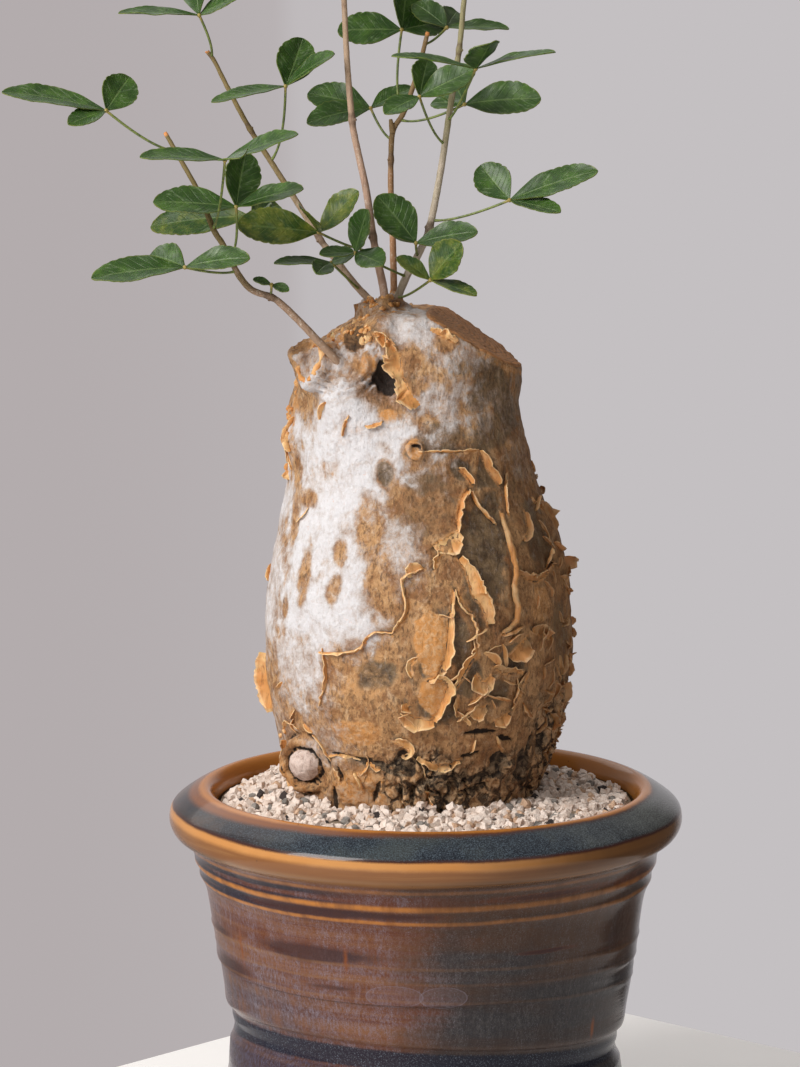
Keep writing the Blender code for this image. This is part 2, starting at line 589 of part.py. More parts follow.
def make_caudex():
    caudex = mesh_object("caudex", build_caudex_body, "caudex_bark")
    pieces = [make_stump(i, stump) for i, stump in enumerate(STUMPS)]
    pieces += make_scar()
    pieces += [make_flake(i, flake) for i, flake in enumerate(FLAKES)]
    combine(caudex, pieces, "UNION")
    combine(caudex, [make_socket(name, stem) for name, stem in STEMS.items()], "DIFFERENCE")
    shade(caudex, 35)


def make_stem(name, stem):
    path = stem_path(stem)
    stem_obj = mesh_object(name, lambda form: sweep(form, path, stem_radii(stem), STEM_SIDES),
                           "stem_bark")
    shade(stem_obj, 50)
    return stem_obj


def make_blade(name, hub, blade):
    """A toothed blade, folded a little along its rib and drooping towards its tip."""
    tip = Vector(blade.tip) * MM
    along = tip - hub
    length = along.length
    along.normalize()
    level = along.cross(Vector((0, 0, 1)))
    level = level.normalized() if level.length > 0.05 else Vector((1, 0, 0))
    upper = level.cross(along)
    roll = math.radians(blade.roll)
    if level.dot(Vector((0, 1, 0))) * math.sin(roll) < 0:
        roll = -roll
    side = level * math.cos(roll) + upper * math.sin(roll)
    face = side.cross(along).normalized()
    half = 0.5 * blade.width * MM

    def build(form):
        layers = ([], [])
        for share, wide in BLADE_WIDTHS:
            sag = -BLADE_DROOP * length * share * share
            rib = hub + along * (length * share) + upper * sag
            for layer, lift in zip(layers, (0.5, -0.5)):
                middle = rib + face * (lift * BLADE_THICKNESS)
                reach = side * (half * wide) + face * (BLADE_FOLD * half * wide)
                back = -side * (half * wide) + face * (BLADE_FOLD * half * wide)
                layer.append([form.verts.new(middle + back), form.verts.new(middle),
                              form.verts.new(middle + reach)])
        top, under = layers
        for layer in layers:
            for low, high in zip(layer, layer[1:]):
                form.faces.new((low[0], low[1], high[0]))
                form.faces.new((low[1], high[1], high[0]))
                form.faces.new((low[1], low[2], high[2]))
                form.faces.new((low[1], high[2], high[1]))
        for k in range(len(top) - 1):
            for edge in (0, 2):
                form.faces.new((top[k][edge], top[k + 1][edge], under[k + 1][edge], under[k][edge]))
        for end in (0, -1):
            for edge in (0, 1):
                form.faces.new((top[end][edge], top[end][edge + 1], under[end][edge + 1],
                                under[end][edge]))

    return mesh_object(name, build, "leaf_green")


def nearest_on_path(path, place):
    """The point of the path nearest to the place, the direction there, and how far along it is."""
    found = None
    for i, (a, b) in enumerate(zip(path, path[1:])):
        share = max(0.0, min(1.0, (place - a).dot(b - a) / (b - a).length_squared))
        point = a.lerp(b, share)
        distance = (point - place).length
        if found is None or distance < found[0]:
            found = (distance, point, (b - a).normalized(), i + share)
    return found[1:]


def stalk_start(leaf):
    """Where the stalk begins: just off the stem's bark, on the side that faces the hub."""
    stem = STEMS[leaf.stem]
    point, along, index = nearest_on_path(stem_path(stem), Vector(leaf.joint) * MM)
    radii = stem_radii(stem)
    radius = max(radii[int(index)], radii[min(int(index) + 1, len(radii) - 1)])
    out = Vector(leaf.hub) * MM - point
    out = (out - along * out.dot(along) * 0.75).normalized()
    lean = abs(out.dot(along))
    clear = (radius + GAP + STALK_RADIUS * lean) / math.sqrt(1.0 - lean * lean)
    return point + out * clear, out


def make_leaf(name, leaf):
    """A stalk, a hub and the leaflets that spread from it, fused into one leaf."""
    hub = Vector(leaf.hub) * MM
    start, out = stalk_start(leaf)
    reach = (hub - start).length
    bend = start + out * (STALK_BEND * reach)
    points = [start.lerp(bend, t).lerp(bend.lerp(hub, t), t) for t in STALK_STEPS]
    radii = [STALK_RADIUS * (1.0 - 0.15 * t) for t in STALK_STEPS]
    obj = mesh_object(name, lambda form: sweep(form, points, radii, STALK_SIDES), "leaf_green")

    def build_hub(form):
        bmesh.ops.create_icosphere(form, subdivisions=1, radius=HUB_RADIUS)
        bmesh.ops.translate(form, verts=form.verts, vec=hub)

    pieces = [mesh_object(name + "_hub", build_hub, "leaf_green")]
    for i, blade in enumerate(leaf.leaflets):
        pieces.append(make_blade(f"{name}_blade_{i}", hub, blade))
    combine(obj, pieces, "UNION")
    shade(obj, 30)


def main():
    clear_scene()
    make_pot()
    shade(mesh_object("soil", build_soil, "soil"))
    mesh_object("grit", build_grit, "grit")
    make_caudex()
    for name, stem in STEMS.items():
        make_stem(name, stem)
    for name, leaf in LEAVES.items():
        make_leaf(name, leaf)


main()
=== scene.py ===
"""The looks of a potted commiphora: glazed pot, grit, peeling caudex, thin stems and leaves.

Metres, +Z up, the plant's front towards -Y. A place on the caudex is given by its turn from the
front in degrees, growing towards +X, and its height in millimetres above the pot's base.
"""

import logging
import math
import random
from dataclasses import dataclass
from enum import Enum
from typing import Callable, Iterable, Optional, Sequence, Union

import bmesh
import bpy
import numpy as np
from bpy.types import Material, Node, NodeSocket, Object
from mathutils import Euler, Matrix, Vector, noise
from mathutils.bvhtree import BVHTree


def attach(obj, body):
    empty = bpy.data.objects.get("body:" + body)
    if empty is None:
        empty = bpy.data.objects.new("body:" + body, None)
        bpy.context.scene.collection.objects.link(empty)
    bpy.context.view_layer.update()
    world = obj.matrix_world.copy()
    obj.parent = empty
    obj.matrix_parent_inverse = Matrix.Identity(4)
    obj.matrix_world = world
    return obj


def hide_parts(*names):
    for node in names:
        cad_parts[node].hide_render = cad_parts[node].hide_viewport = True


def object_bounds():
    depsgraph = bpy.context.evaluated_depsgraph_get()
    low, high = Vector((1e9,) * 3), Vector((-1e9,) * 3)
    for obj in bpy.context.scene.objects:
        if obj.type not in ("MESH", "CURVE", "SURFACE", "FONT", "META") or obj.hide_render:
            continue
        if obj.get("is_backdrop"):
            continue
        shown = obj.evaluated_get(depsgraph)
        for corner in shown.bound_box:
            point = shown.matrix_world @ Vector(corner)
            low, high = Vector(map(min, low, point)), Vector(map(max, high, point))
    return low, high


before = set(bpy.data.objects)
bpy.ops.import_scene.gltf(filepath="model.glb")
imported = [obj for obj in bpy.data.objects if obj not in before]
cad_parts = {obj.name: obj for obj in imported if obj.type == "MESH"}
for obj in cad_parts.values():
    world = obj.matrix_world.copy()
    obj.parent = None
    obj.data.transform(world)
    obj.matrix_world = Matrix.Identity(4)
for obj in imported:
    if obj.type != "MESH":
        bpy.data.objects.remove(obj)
CAD_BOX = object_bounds()

MM = 0.001
CAUDEX_AXIS_Y = 0.005
MM_A_DEGREE = 0.72  # how far a degree of turn is on the caudex's skin
REPORT = logging.getLogger("commiphora")
NOISE_SEED = 5  # of the vector noise that bends the cracks and the rim of the first stump

Colour = tuple[float, float, float]
Place = tuple[float, float, float]


def rows_of(kind: type, rows: Iterable[tuple]) -> tuple:
    """One record of a kind for each row of its values."""
    return tuple(kind(*row) for row in rows)


def srgb(red: float, green: float, blue: float) -> Colour:
    """A linear colour from its three display values of 0 to 255.

    Args:
        red: Red, 0 to 255.
        green: Green, 0 to 255.
        blue: Blue, 0 to 255.

    Returns:
        The linear colour.
    """
    def linear(value: float) -> float:
        """One channel."""
        share = value / 255.0
        return share / 12.92 if share <= 0.04045 else ((share + 0.055) / 1.055) ** 2.4
    return linear(red), linear(green), linear(blue)


# Modelling helpers


def deselect() -> None:
    """Leave nothing selected, in object mode."""
    if bpy.context.object and bpy.context.object.mode != "OBJECT":
        bpy.ops.object.mode_set(mode="OBJECT")
    bpy.ops.object.select_all(action="DESELECT")


def only(obj: Object) -> Object:
    """Select one object alone and make it the active one.

    Args:
        obj: The object.

    Returns:
        The same object.
    """
    deselect()
    obj.select_set(True)
    bpy.context.view_layer.objects.active = obj
    return obj


def edit(obj: Object) -> None:
    """Open one object's mesh for editing, with all of it selected.

    Args:
        obj: The object.
    """
    only(obj)
    bpy.ops.object.mode_set(mode="EDIT")
    bpy.ops.mesh.select_all(action="SELECT")


def close_edit() -> None:
    """Go back from a mesh to its object."""
    bpy.ops.object.mode_set(mode="OBJECT")


def apply_place(obj: Object) -> Object:
    """Move the object's place, turn and scale into its mesh.

    Args:
        obj: The object.

    Returns:
        The same object.
    """
    only(obj)
    bpy.ops.object.transform_apply(location=True, rotation=True, scale=True)
    return obj


def apply_modifier(obj: Object, kind: str, **settings: object) -> None:
    """Add a modifier with these settings and apply it.

    Args:
        obj: The object to change.
        kind: Blender's name of the modifier's type.
        settings: The modifier's settings, by name.
    """
    only(obj)
    modifier = obj.modifiers.new(kind.title(), kind)
    for name, value in settings.items():
        setattr(modifier, name, value)
    bpy.ops.object.modifier_apply(modifier=modifier.name)


def tidy_skin(obj: Object, merge: float = 1e-6) -> None:
    """Merge doubled points and turn every face outwards.

    Args:
        obj: The object to clean.
        merge: The distance within which points are merged.
    """
    edit(obj)
    bpy.ops.mesh.remove_doubles(threshold=merge)
    bpy.ops.mesh.normals_make_consistent(inside=False)
    close_edit()


def smooth(obj: Object, degrees: float = 40.0) -> None:
    """Shade smooth, with edges sharper than the given angle left hard."""
    only(obj)
    bpy.ops.object.shade_smooth_by_angle(angle=math.radians(degrees))


def join(pieces: Sequence[Object], name: str) -> Object:
    """Join the pieces into one object of that name.

    Args:
        pieces: The objects to join.
        name: The joined object's name.

    Returns:
        The joined object.
    """
    deselect()
    for piece in pieces:
        piece.select_set(True)
    bpy.context.view_layer.objects.active = pieces[0]
    if len(pieces) > 1:
        bpy.ops.object.join()
    pieces[0].name = pieces[0].data.name = name
    return pieces[0]


def flowing(points: Sequence[Sequence[float]], step: float) -> list[Vector]:
    """A smooth line through the points.

    Args:
        points: The points to pass through.
        step: The distance between the points returned.

    Returns:
        Points along a Catmull-Rom line, ends included.
    """
    line = [Vector(point) for point in points]
    line = [line[0] * 2 - line[1]] + line + [line[-1] * 2 - line[-2]]
    found = []
    for before, start, end, after in zip(line, line[1:], line[2:], line[3:]):
        count = max(1, round((end - start).length / step))
        for index in range(count):
            t = index / count
            found.append(0.5 * (2 * start + (end - before) * t
                                + (2 * before - 5 * start + 4 * end - after) * t * t
                                + (3 * start - before - 3 * end + after) * t * t * t))
    return found + [line[-2]]


def turned(name: str, profile: Sequence[Sequence[float]], steps: int) -> Object:
    """Spin a profile of (radius, height) points about the upright axis into a closed skin.

    Args:
        name: The object's name.
        profile: Points of radius and height.
        steps: How many steps the turn has.

    Returns:
        The turned object, with its poles closed.
    """
    deselect()
    mesh = bpy.data.meshes.new(name)
    points = [(radius, 0.0, height) for radius, height in profile]
    mesh.from_pydata(points, [(i, i + 1) for i in range(len(points) - 1)], [])
    obj = bpy.data.objects.new(name, mesh)
    bpy.context.scene.collection.objects.link(obj)
    edit(obj)
    bpy.ops.mesh.spin(steps=steps, angle=2 * math.pi, center=(0, 0, 0), axis=(0, 0, 1))
    close_edit()
    tidy_skin(obj)
    return obj


def tube(name: str, points: Sequence[Vector], radii: Sequence[float], sides: int = 10) -> Object:
    """A closed round tube along the points, made from a bevelled curve.

    Args:
        name: The object's name.
        points: The tube's middle line.
        radii: Its radius at each point.
        sides: How many sides it has.

    Returns:
        The tube as a mesh object.
    """
    deselect()
    curve = bpy.data.curves.new(name, "CURVE")
    curve.dimensions = "3D"
    curve.bevel_depth = 1.0
    curve.bevel_resolution = max(0, sides // 2 - 2)
    curve.use_fill_caps = True
    spline = curve.splines.new("POLY")
    spline.points.add(len(points) - 1)
    for spot, point, radius in zip(spline.points, points, radii):
        spot.co = (*point, 1.0)
        spot.radius = radius
    obj = bpy.data.objects.new(name, curve)
    bpy.context.scene.collection.objects.link(obj)
    only(obj)
    bpy.ops.object.convert(target="MESH")
    tidy_skin(obj)
    return obj


def sheet(name: str, across: int, along: int, shape: Callable[[float, float], Vector],
          thickness: float) -> Object:
    """A thin sheet: a flat grid whose points the shape function places, given some thickness.

    Args:
        name: The object's name.
        across: Faces across.
        along: Faces along.
        shape: Gives a point from its shares across and along, each 0 to 1.
        thickness: The sheet's thickness.

    Returns:
        The sheet, which keeps the grid's UV map.
    """
    deselect()
    bpy.ops.mesh.primitive_grid_add(x_subdivisions=across, y_subdivisions=along, size=1.0)
    obj = bpy.context.object
    obj.name = obj.data.name = name
    for vert in obj.data.vertices:
        vert.co = shape(vert.co.x + 0.5, vert.co.y + 0.5)
    apply_modifier(obj, "SOLIDIFY", thickness=thickness, offset=0.0)
    return obj


def points_of(obj: Object) -> np.ndarray:
    """The mesh's points as rows of x, y and z.

    Args:
        obj: The object.

    Returns:
        One row for each point.
    """
    found = np.empty(len(obj.data.vertices) * 3, np.float32)
    obj.data.vertices.foreach_get("co", found)
    return found.reshape(-1, 3).astype(np.float64)


def set_points(obj: Object, points: np.ndarray) -> None:
    """Move the mesh's points to these rows of x, y and z."""
    obj.data.vertices.foreach_set("co", points.astype(np.float32).ravel())
    obj.data.update()


def unit(values: np.ndarray) -> np.ndarray:
    """The values, held between 0 and 1."""
    return np.clip(values, 0, 1)


def push_out(obj: Object, points: np.ndarray, heights: np.ndarray) -> None:
    """Set the mesh's points, each moved out along its normal by its height.

    Args:
        obj: The object.
        points: Rows of x, y and z.
        heights: How far each point moves.
    """
    normals = np.empty(len(points) * 3, np.float32)
    obj.data.vertices.foreach_get("normal", normals)
    set_points(obj, points + normals.reshape(-1, 3) * heights[:, None])


def paint_points(obj: Object, name: str, values: np.ndarray) -> None:
    """Store one number for each point of the mesh, for its material to read."""
    layer = obj.data.attributes.new(name, "FLOAT", "POINT")
    layer.data.foreach_set("value", unit(values).astype(np.float32))


def rough_field(points: np.ndarray, scale: float, seed: float = 0.0, octaves: int = 3) -> np.ndarray:
    """Fractal noise of about -1 to 1 at each point.

    Args:
        points: Rows of x, y and z.
        scale: How many waves to a metre.
        seed: Shifts the pattern.
        octaves: How many layers of finer detail.

    Returns:
        One number for each point.
    """
    shift = Vector((seed, seed * 1.7, -seed * 0.6))
    return np.array([noise.fractal(Vector(point) * scale + shift, 0.9, 2.1, octaves) for point in points])


# Shader maths


Number = Union[float, "Value"]
Tint = Union[Colour, NodeSocket]


def maths_on(operation: str, swapped: bool = False) -> Callable[["Value", Number], "Value"]:
    """A method of Value that adds one Math node on the value and another number.

    Args:
        operation: The Math node's operation.
        swapped: Whether the other number comes first.

    Returns:
        The method.
    """
    def method(self: "Value", other: Number) -> "Value":
        """The outcome of the two numbers."""
        return self.maths(operation, *((other, self) if swapped else (self, other)))
    return method


@dataclass(frozen=True)
class Value:
    """A number that varies over a surface. Arithmetic on it adds Math nodes."""

    paint: "Paint"
    socket: NodeSocket

    __add__ = __radd__ = maths_on("ADD")
    __mul__ = __rmul__ = maths_on("MULTIPLY")
    __sub__ = maths_on("SUBTRACT")
    __rsub__ = maths_on("SUBTRACT", swapped=True)
    __truediv__ = maths_on("DIVIDE")
    __pow__ = maths_on("POWER")
    least = maths_on("MINIMUM")

    def maths(self, operation: str, *terms: Number) -> "Value":
        """One Math node on the given terms."""
        return self.paint.value("ShaderNodeMath", {"operation": operation}, dict(enumerate(terms)))

    def __neg__(self) -> "Value":
        """The opposite number."""
        return self.maths("MULTIPLY", self, -1.0)

    def __abs__(self) -> "Value":
        """The size without the sign."""
        return self.maths("ABSOLUTE", self)

    def root(self) -> "Value":
        """The square root."""
        return self.maths("SQRT", self)

    def sine(self) -> "Value":
        """The sine of an angle in radians."""
        return self.maths("SINE", self)

    def rise(self, start: float, end: float) -> "Value":
        """A smooth step from 0 at start to 1 at end. A start above the end makes it fall.

        Args:
            start: Where the step is 0.
            end: Where the step is 1.

        Returns:
            The step.
        """
        low, high = min(start, end), max(start, end)
        low_value, high_value = (0.0, 1.0) if start <= end else (1.0, 0.0)
        return self.paint.value("ShaderNodeMapRange", {"interpolation_type": "SMOOTHSTEP"},
                                {"Value": self, "From Min": low, "From Max": high,
                                 "To Min": low_value, "To Max": high_value})

    def near(self, middle: Number, spread: float) -> "Value":
        """1 at the middle, falling smoothly to 0 at the spread's distance."""
        return abs(self - middle).rise(spread, 0.0)


class Paint:
    """One procedural material in the making."""

    def __init__(self, name: str, owner: Optional[bpy.types.World] = None, space: str = "Object") -> None:
        """Start an empty material of that name, or empty the owner's nodes.

        Args:
            name: The material's name.
            owner: The material or world to use instead of a new one.
            space: The coordinates that give the place.
        """
        self.material = owner or bpy.data.materials.new(name)
        self.material.use_nodes = True
        self.tree = self.material.node_tree
        self.tree.nodes.clear()
        self.place = self.node("ShaderNodeTexCoord", {}, {}).outputs[space]

    def node(self, kind: str, settings: dict, inputs: dict) -> Node:
        """Add a node.

        Args:
            kind: The node's type.
            settings: Its settings, which are set first.
            inputs: A value, or a Value or socket to link, for each input name or number.

        Returns:
            The node.
        """
        node = self.tree.nodes.new(kind)
        for name, value in settings.items():
            setattr(node, name, value)
        for key, value in inputs.items():
            socket = node.inputs[key]
            if isinstance(value, Value):
                value = value.socket
            if isinstance(value, NodeSocket):
                self.tree.links.new(value, socket)
            elif isinstance(value, tuple) and len(value) == 3 and socket.type == "RGBA":
                socket.default_value = (*value, 1.0)
            else:
                socket.default_value = value
        return node

    def value(self, kind: str, settings: dict, inputs: dict, output: Union[int, str] = 0) -> Value:
        """A node's output as a number to reckon with."""
        return Value(self, self.node(kind, settings, inputs).outputs[output])

    def axes(self) -> tuple[Value, Value, Value]:
        """The place's x, y and z."""
        node = self.node("ShaderNodeSeparateXYZ", {}, {0: self.place})
        return tuple(Value(self, output) for output in node.outputs)

    def uv(self) -> tuple[Value, Value]:
        """The share across and along the piece's own UV map.

        Returns:
            The two shares.
        """
        place = self.node("ShaderNodeTexCoord", {}, {}).outputs["UV"]
        node = self.node("ShaderNodeSeparateXYZ", {}, {0: place})
        return Value(self, node.outputs[0]), Value(self, node.outputs[1])

    def turn(self, x: Value, y: Value) -> Value:
        """The turn about the upright axis in degrees: 0 at the front, growing to +X."""
        return x.maths("ARCTAN2", x, -y) * math.degrees(1.0)

    def point(self, x: Number, y: Number, z: Number) -> NodeSocket:
        """A vector from three numbers."""
        return self.node("ShaderNodeCombineXYZ", {}, {0: x, 1: y, 2: z}).outputs[0]

    def cloud(self, scale: float, detail: float = 3.0, roughness: float = 0.55, twist: float = 0.0,
              vector: Optional[NodeSocket] = None) -> Value:
        """Noise of about 0 to 1.

        Args:
            scale: How many waves to a unit of length.
            detail: How many layers of finer noise.
            roughness: How strong the finer layers are.
            twist: How far the pattern is distorted.
            vector: Where to read it, if not at the place itself.

        Returns:
            The noise.
        """
        return self.value("ShaderNodeTexNoise", {}, {
            "Vector": vector or self.place, "Scale": scale, "Detail": detail,
            "Roughness": roughness, "Distortion": twist})

    def cells(self, scale: float, feature: str = "F1", jitter: float = 1.0,
              vector: Optional[NodeSocket] = None) -> Value:
        """The distance to the nearest cell middle, or to a cell's edge."""
        return self.value("ShaderNodeTexVoronoi", {"feature": feature}, {
            "Vector": vector or self.place, "Scale": scale, "Randomness": jitter})

    def stored(self, name: str) -> Value:
        """A number stored for each point of the mesh."""
        return self.value("ShaderNodeAttribute", {"attribute_name": name}, {}, "Fac")

    def mix(self, share: Number, first: Tint,
            second: Tint, blend: str = "MIX") -> NodeSocket:
        """A mix of two colours, the second's share given.

        Args:
            share: The second colour's share.
            first: The first colour.
            second: The second colour.
            blend: How the two are blended.

        Returns:
            The mixed colour.
        """
        node = self.node("ShaderNodeMix", {"data_type": "RGBA", "blend_type": blend, "clamp_factor": True},
                         {})
        for key, value in ((0, share), (6, first), (7, second)):
            if isinstance(value, Value):
                value = value.socket
            if isinstance(value, NodeSocket):
                self.tree.links.new(value, node.inputs[key])
            else:
                node.inputs[key].default_value = (*value, 1.0) if isinstance(value, tuple) else value
        return node.outputs[2]

    def over(self, colour: Tint, *layers: tuple[Number, Tint]) -> NodeSocket:
        """Lay colours over one another.

        Args:
            colour: The colour underneath.
            layers: Each layer's share and colour, from the lowest up.

        Returns:
            The colour that shows.
        """
        for share, layer in layers:
            colour = self.mix(share, colour, layer)
        return colour

    def bump(self, height: Value, depth: float, strength: float = 1.0) -> NodeSocket:
        """A normal from a height of 0 to 1 and its real depth in metres."""
        return self.node("ShaderNodeBump", {}, {"Height": height, "Distance": depth,
                                                "Strength": strength}).outputs[0]

    def finish(self, colour: Tint, roughness: Number,
               normal: Optional[NodeSocket] = None, **constants: object) -> Material:
        """Close the material with its surface shader.

        Args:
            colour: The base colour.
            roughness: The roughness.
            normal: A bumped normal, if any.
            constants: Other sockets of the shader, by name with underscores, each one plain value.

        Returns:
            The material.
        """
        inputs = {"Base Color": colour, "Roughness": roughness}
        if normal is not None:
            inputs["Normal"] = normal
        inputs.update({name.replace("_", " "): value for name, value in constants.items()})
        shader = self.node("ShaderNodeBsdfPrincipled", {}, inputs)
        self.node("ShaderNodeOutputMaterial", {}, {0: shader.outputs[0]})
        return self.material


# The pot


@dataclass(frozen=True)
class Ridge:
    """A throwing ridge: its height on the untilted wall, how far it stands out, and its half width."""

    height: float
    rise: float
    spread: float


@dataclass(frozen=True)
class Pool:
    """A place where the glaze ran thick or thin: its height and turn, half sizes and strength."""

    height: float
    turn: float
    tall: float
    wide: float
    strength: float = 1.0


@dataclass(frozen=True)
class RunningGlaze:
    """The pot's glaze: amber where it breaks over an edge, slate blue where it pools."""

    amber: Colour = srgb(180, 116, 54)
    lip: Colour = srgb(198, 146, 92)
    honey: Colour = srgb(118, 76, 46)
    plum: Colour = srgb(62, 36, 32)
    slate: Colour = srgb(28, 32, 40)
    fleck: Colour = srgb(90, 104, 116)
    rust: Colour = srgb(92, 50, 30)
    umber: Colour = srgb(76, 52, 34)
    teal: Colour = srgb(40, 43, 48)
    steel: Colour = srgb(88, 84, 82)
    milk: Colour = srgb(124, 116, 128)
    ink: Colour = srgb(38, 32, 42)
    navy: Colour = srgb(24, 28, 42)
    khaki: Colour = srgb(138, 98, 62)
    roughness: float = 0.13

    def material(self, pot: "Pot") -> Material:
        """The glaze, laid out on the pot's own rings.

        Args:
            pot: The pot that wears it.

        Returns:
            The material.
        """
        paint = Paint("running_glaze")
        x, y, z = paint.axes()
        turn = paint.turn(x, y)
        radius = (x * x + y * y).root()
        low, middle, high = pot.tilt_heights
        share = z.rise(low, middle) * z.rise(high, middle)
        level = z - share * (x * pot.tilt[0] + y * pot.tilt[1])
        clouds = paint.cloud(38.0, 4.0, 0.6)
        grain = paint.cloud(2600.0, 3.0, 0.7)
        wavy = level + (clouds - 0.5) * 0.0016
        rings = paint.cloud(1.0, 4.0, 0.6, vector=paint.point(x * 9.0, y * 9.0, wavy * 330.0))
        slow_rings = paint.cloud(1.0, 3.0, 0.5, vector=paint.point(x * 13.0, y * 13.0, wavy * 95.0))
        runs = paint.cloud(1.0, 5.0, 0.76, vector=paint.point(x * 1300.0, y * 1300.0, z * 520.0))
        broad_runs = paint.cloud(1.0, 4.0, 0.65, vector=paint.point(x * 260.0, y * 260.0, z * 34.0))

        ragged_turn = turn + (clouds - 0.5) * 30.0 + (rings - 0.5) * 30.0
        to_right = ragged_turn.rise(-16.0, 16.0) * turn.rise(170.0, 110.0)
        round_left = turn.rise(-170.0, -120.0)
        wall = paint.mix(rings.rise(0.36, 0.66), self.rust, paint.mix(to_right, self.honey, self.umber))
        wall = paint.mix(to_right * 0.88, wall,
                         paint.mix(rings.rise(0.55, 0.74) * 0.6, self.umber, self.rust))
        cool = (slow_rings.rise(0.42, 0.66) * 0.8 + clouds.rise(0.45, 0.7) * 0.4 + to_right * 0.25).least(1.0)
        wall = paint.mix(cool * to_right * 0.8, wall, self.teal)
        low_right = to_right * level.rise(0.080, 0.050)
        wall = paint.mix(low_right * 0.45, wall, self.teal)
        left_pool = turn.rise(-8.0, -34.0) * round_left * level.near(0.0905, 0.0070).rise(0.0, 0.4)
        left_pool = left_pool * rings.rise(0.30, 0.46)
        wall = paint.mix(left_pool * 0.92, wall, self.navy)
        low_left = turn.rise(-12.0, -52.0) * round_left * (level + (clouds - 0.5) * 0.012).rise(0.072, 0.050)
        wall = paint.mix(low_left * (broad_runs.rise(0.36, 0.60) * 0.40 + 0.24), wall, self.navy)
        pools: Number = 0.0
        for pool in pot.dark_pools:
            spot = wavy.near(pool.height * MM, pool.tall * MM * 1.25) * turn.near(pool.turn, pool.wide * 1.15)
            pools = spot.rise(0.0, 1.0) * pool.strength * 1.2 + pools
        ragged = (pools + (runs - 0.5) * 1.5 + (clouds - 0.5) * 1.3 + (rings - 0.5) * 0.9).rise(0.14, 1.15)
        deep = paint.mix((runs * 0.6 + clouds * 0.6 - ragged * 0.25).rise(0.14, 0.42), self.ink, self.plum)
        wall = paint.over(
            wall,
            (pools.rise(0.02, 0.40) * (1.0 - ragged) * 0.6, self.rust),
            (ragged * (0.70 + runs * 0.45).least(1.0), deep))
        thick = broad_runs.rise(0.34, 0.66) * 0.40 + slow_rings.rise(0.40, 0.70) * 0.45 + 0.12
        milky = (runs.rise(0.40, 0.66) * 0.75 + 0.08) * thick
        milky = milky * (1.0 - ragged * 0.85) * (1.0 - left_pool * 0.8)
        wall = paint.mix(milky * (1.0 - to_right * 0.25), wall, paint.mix(to_right, self.milk, self.steel))
        foot = paint.mix(runs.rise(0.38, 0.66), paint.mix(to_right, srgb(62, 42, 40), self.teal),
                         paint.mix(to_right, srgb(74, 70, 88), srgb(68, 72, 76)))
        wall = paint.mix(level.rise(0.0360, 0.0340), wall, foot)
        light = grain.rise(0.53, 0.70) * (broad_runs.rise(0.35, 0.6) * 0.7 + 0.3) * (1.0 - ragged * 0.85)
        wall = paint.over(
            wall,
            (light * (1.0 - left_pool * 0.5) * (0.42 - to_right * 0.16), srgb(138, 136, 150)),
            (grain.rise(0.46, 0.30) * 0.40, self.ink))
        groove = (wavy + (runs - 0.5) * 0.0012).near(0.0386, 0.0048).rise(0.14, 0.45)
        wall = paint.over(
            wall,
            (groove * 0.90, paint.mix((runs + grain * 0.4).rise(0.72, 1.0), self.navy, self.ink)),
            (groove * grain.rise(0.55, 0.66) * 0.55, srgb(112, 122, 134)))

        for ridge in pot.ridges:
            line = (level + (clouds - 0.5) * 0.0012).near(ridge.height + 0.0002, ridge.spread * 1.35)
            upper = ridge.height > 0.080
            fade = min(1.0, ridge.rise * 2200.0) * (1.0 - to_right * 0.6)
            fade = fade * (1.0 if ridge.height > 0.045 else 0.4) * (1.0 if upper else 0.55)
            worn = broad_runs.rise(0.30, 0.62) * 0.5 + 0.50
            wall = paint.mix(line.rise(0.05, 1.0) * fade * worn, wall, self.amber if upper else self.khaki)
        for drip in pot.drips:
            spot = z.near(drip.height * MM, drip.tall * MM * 1.3)
            spot = spot * (turn + (runs - 0.5) * 1.2).near(drip.turn, drip.wide * 0.5)
            wall = paint.mix(spot.rise(0.02, 1.2) * drip.strength * (0.6 + runs * 0.6), wall,
                             srgb(128, 68, 26))
        for spot in pot.pale_spots:
            across = (turn - spot.turn) * (1.0 / spot.wide)
            up = (z - spot.height * MM) / (spot.tall * MM)
            away = across ** 2.0 + up ** 2.0 + (clouds - 0.5) * 0.5
            wall = paint.mix(away.near(1.0, 0.10) * 0.40 + away.rise(1.0, 0.9) * 0.10, wall, self.milk)

        under = paint.mix(rings.rise(0.35, 0.65), self.khaki,
                          paint.mix(to_right, srgb(118, 84, 60), self.umber))
        under = paint.over(
            under,
            (to_right * 0.45, self.umber),
            (turn.rise(-40.0, -75.0) * round_left * 0.55, self.navy))
        skin = paint.mix((level + (clouds - 0.5) * 0.0008).rise(0.0965, 0.0985), wall, under)

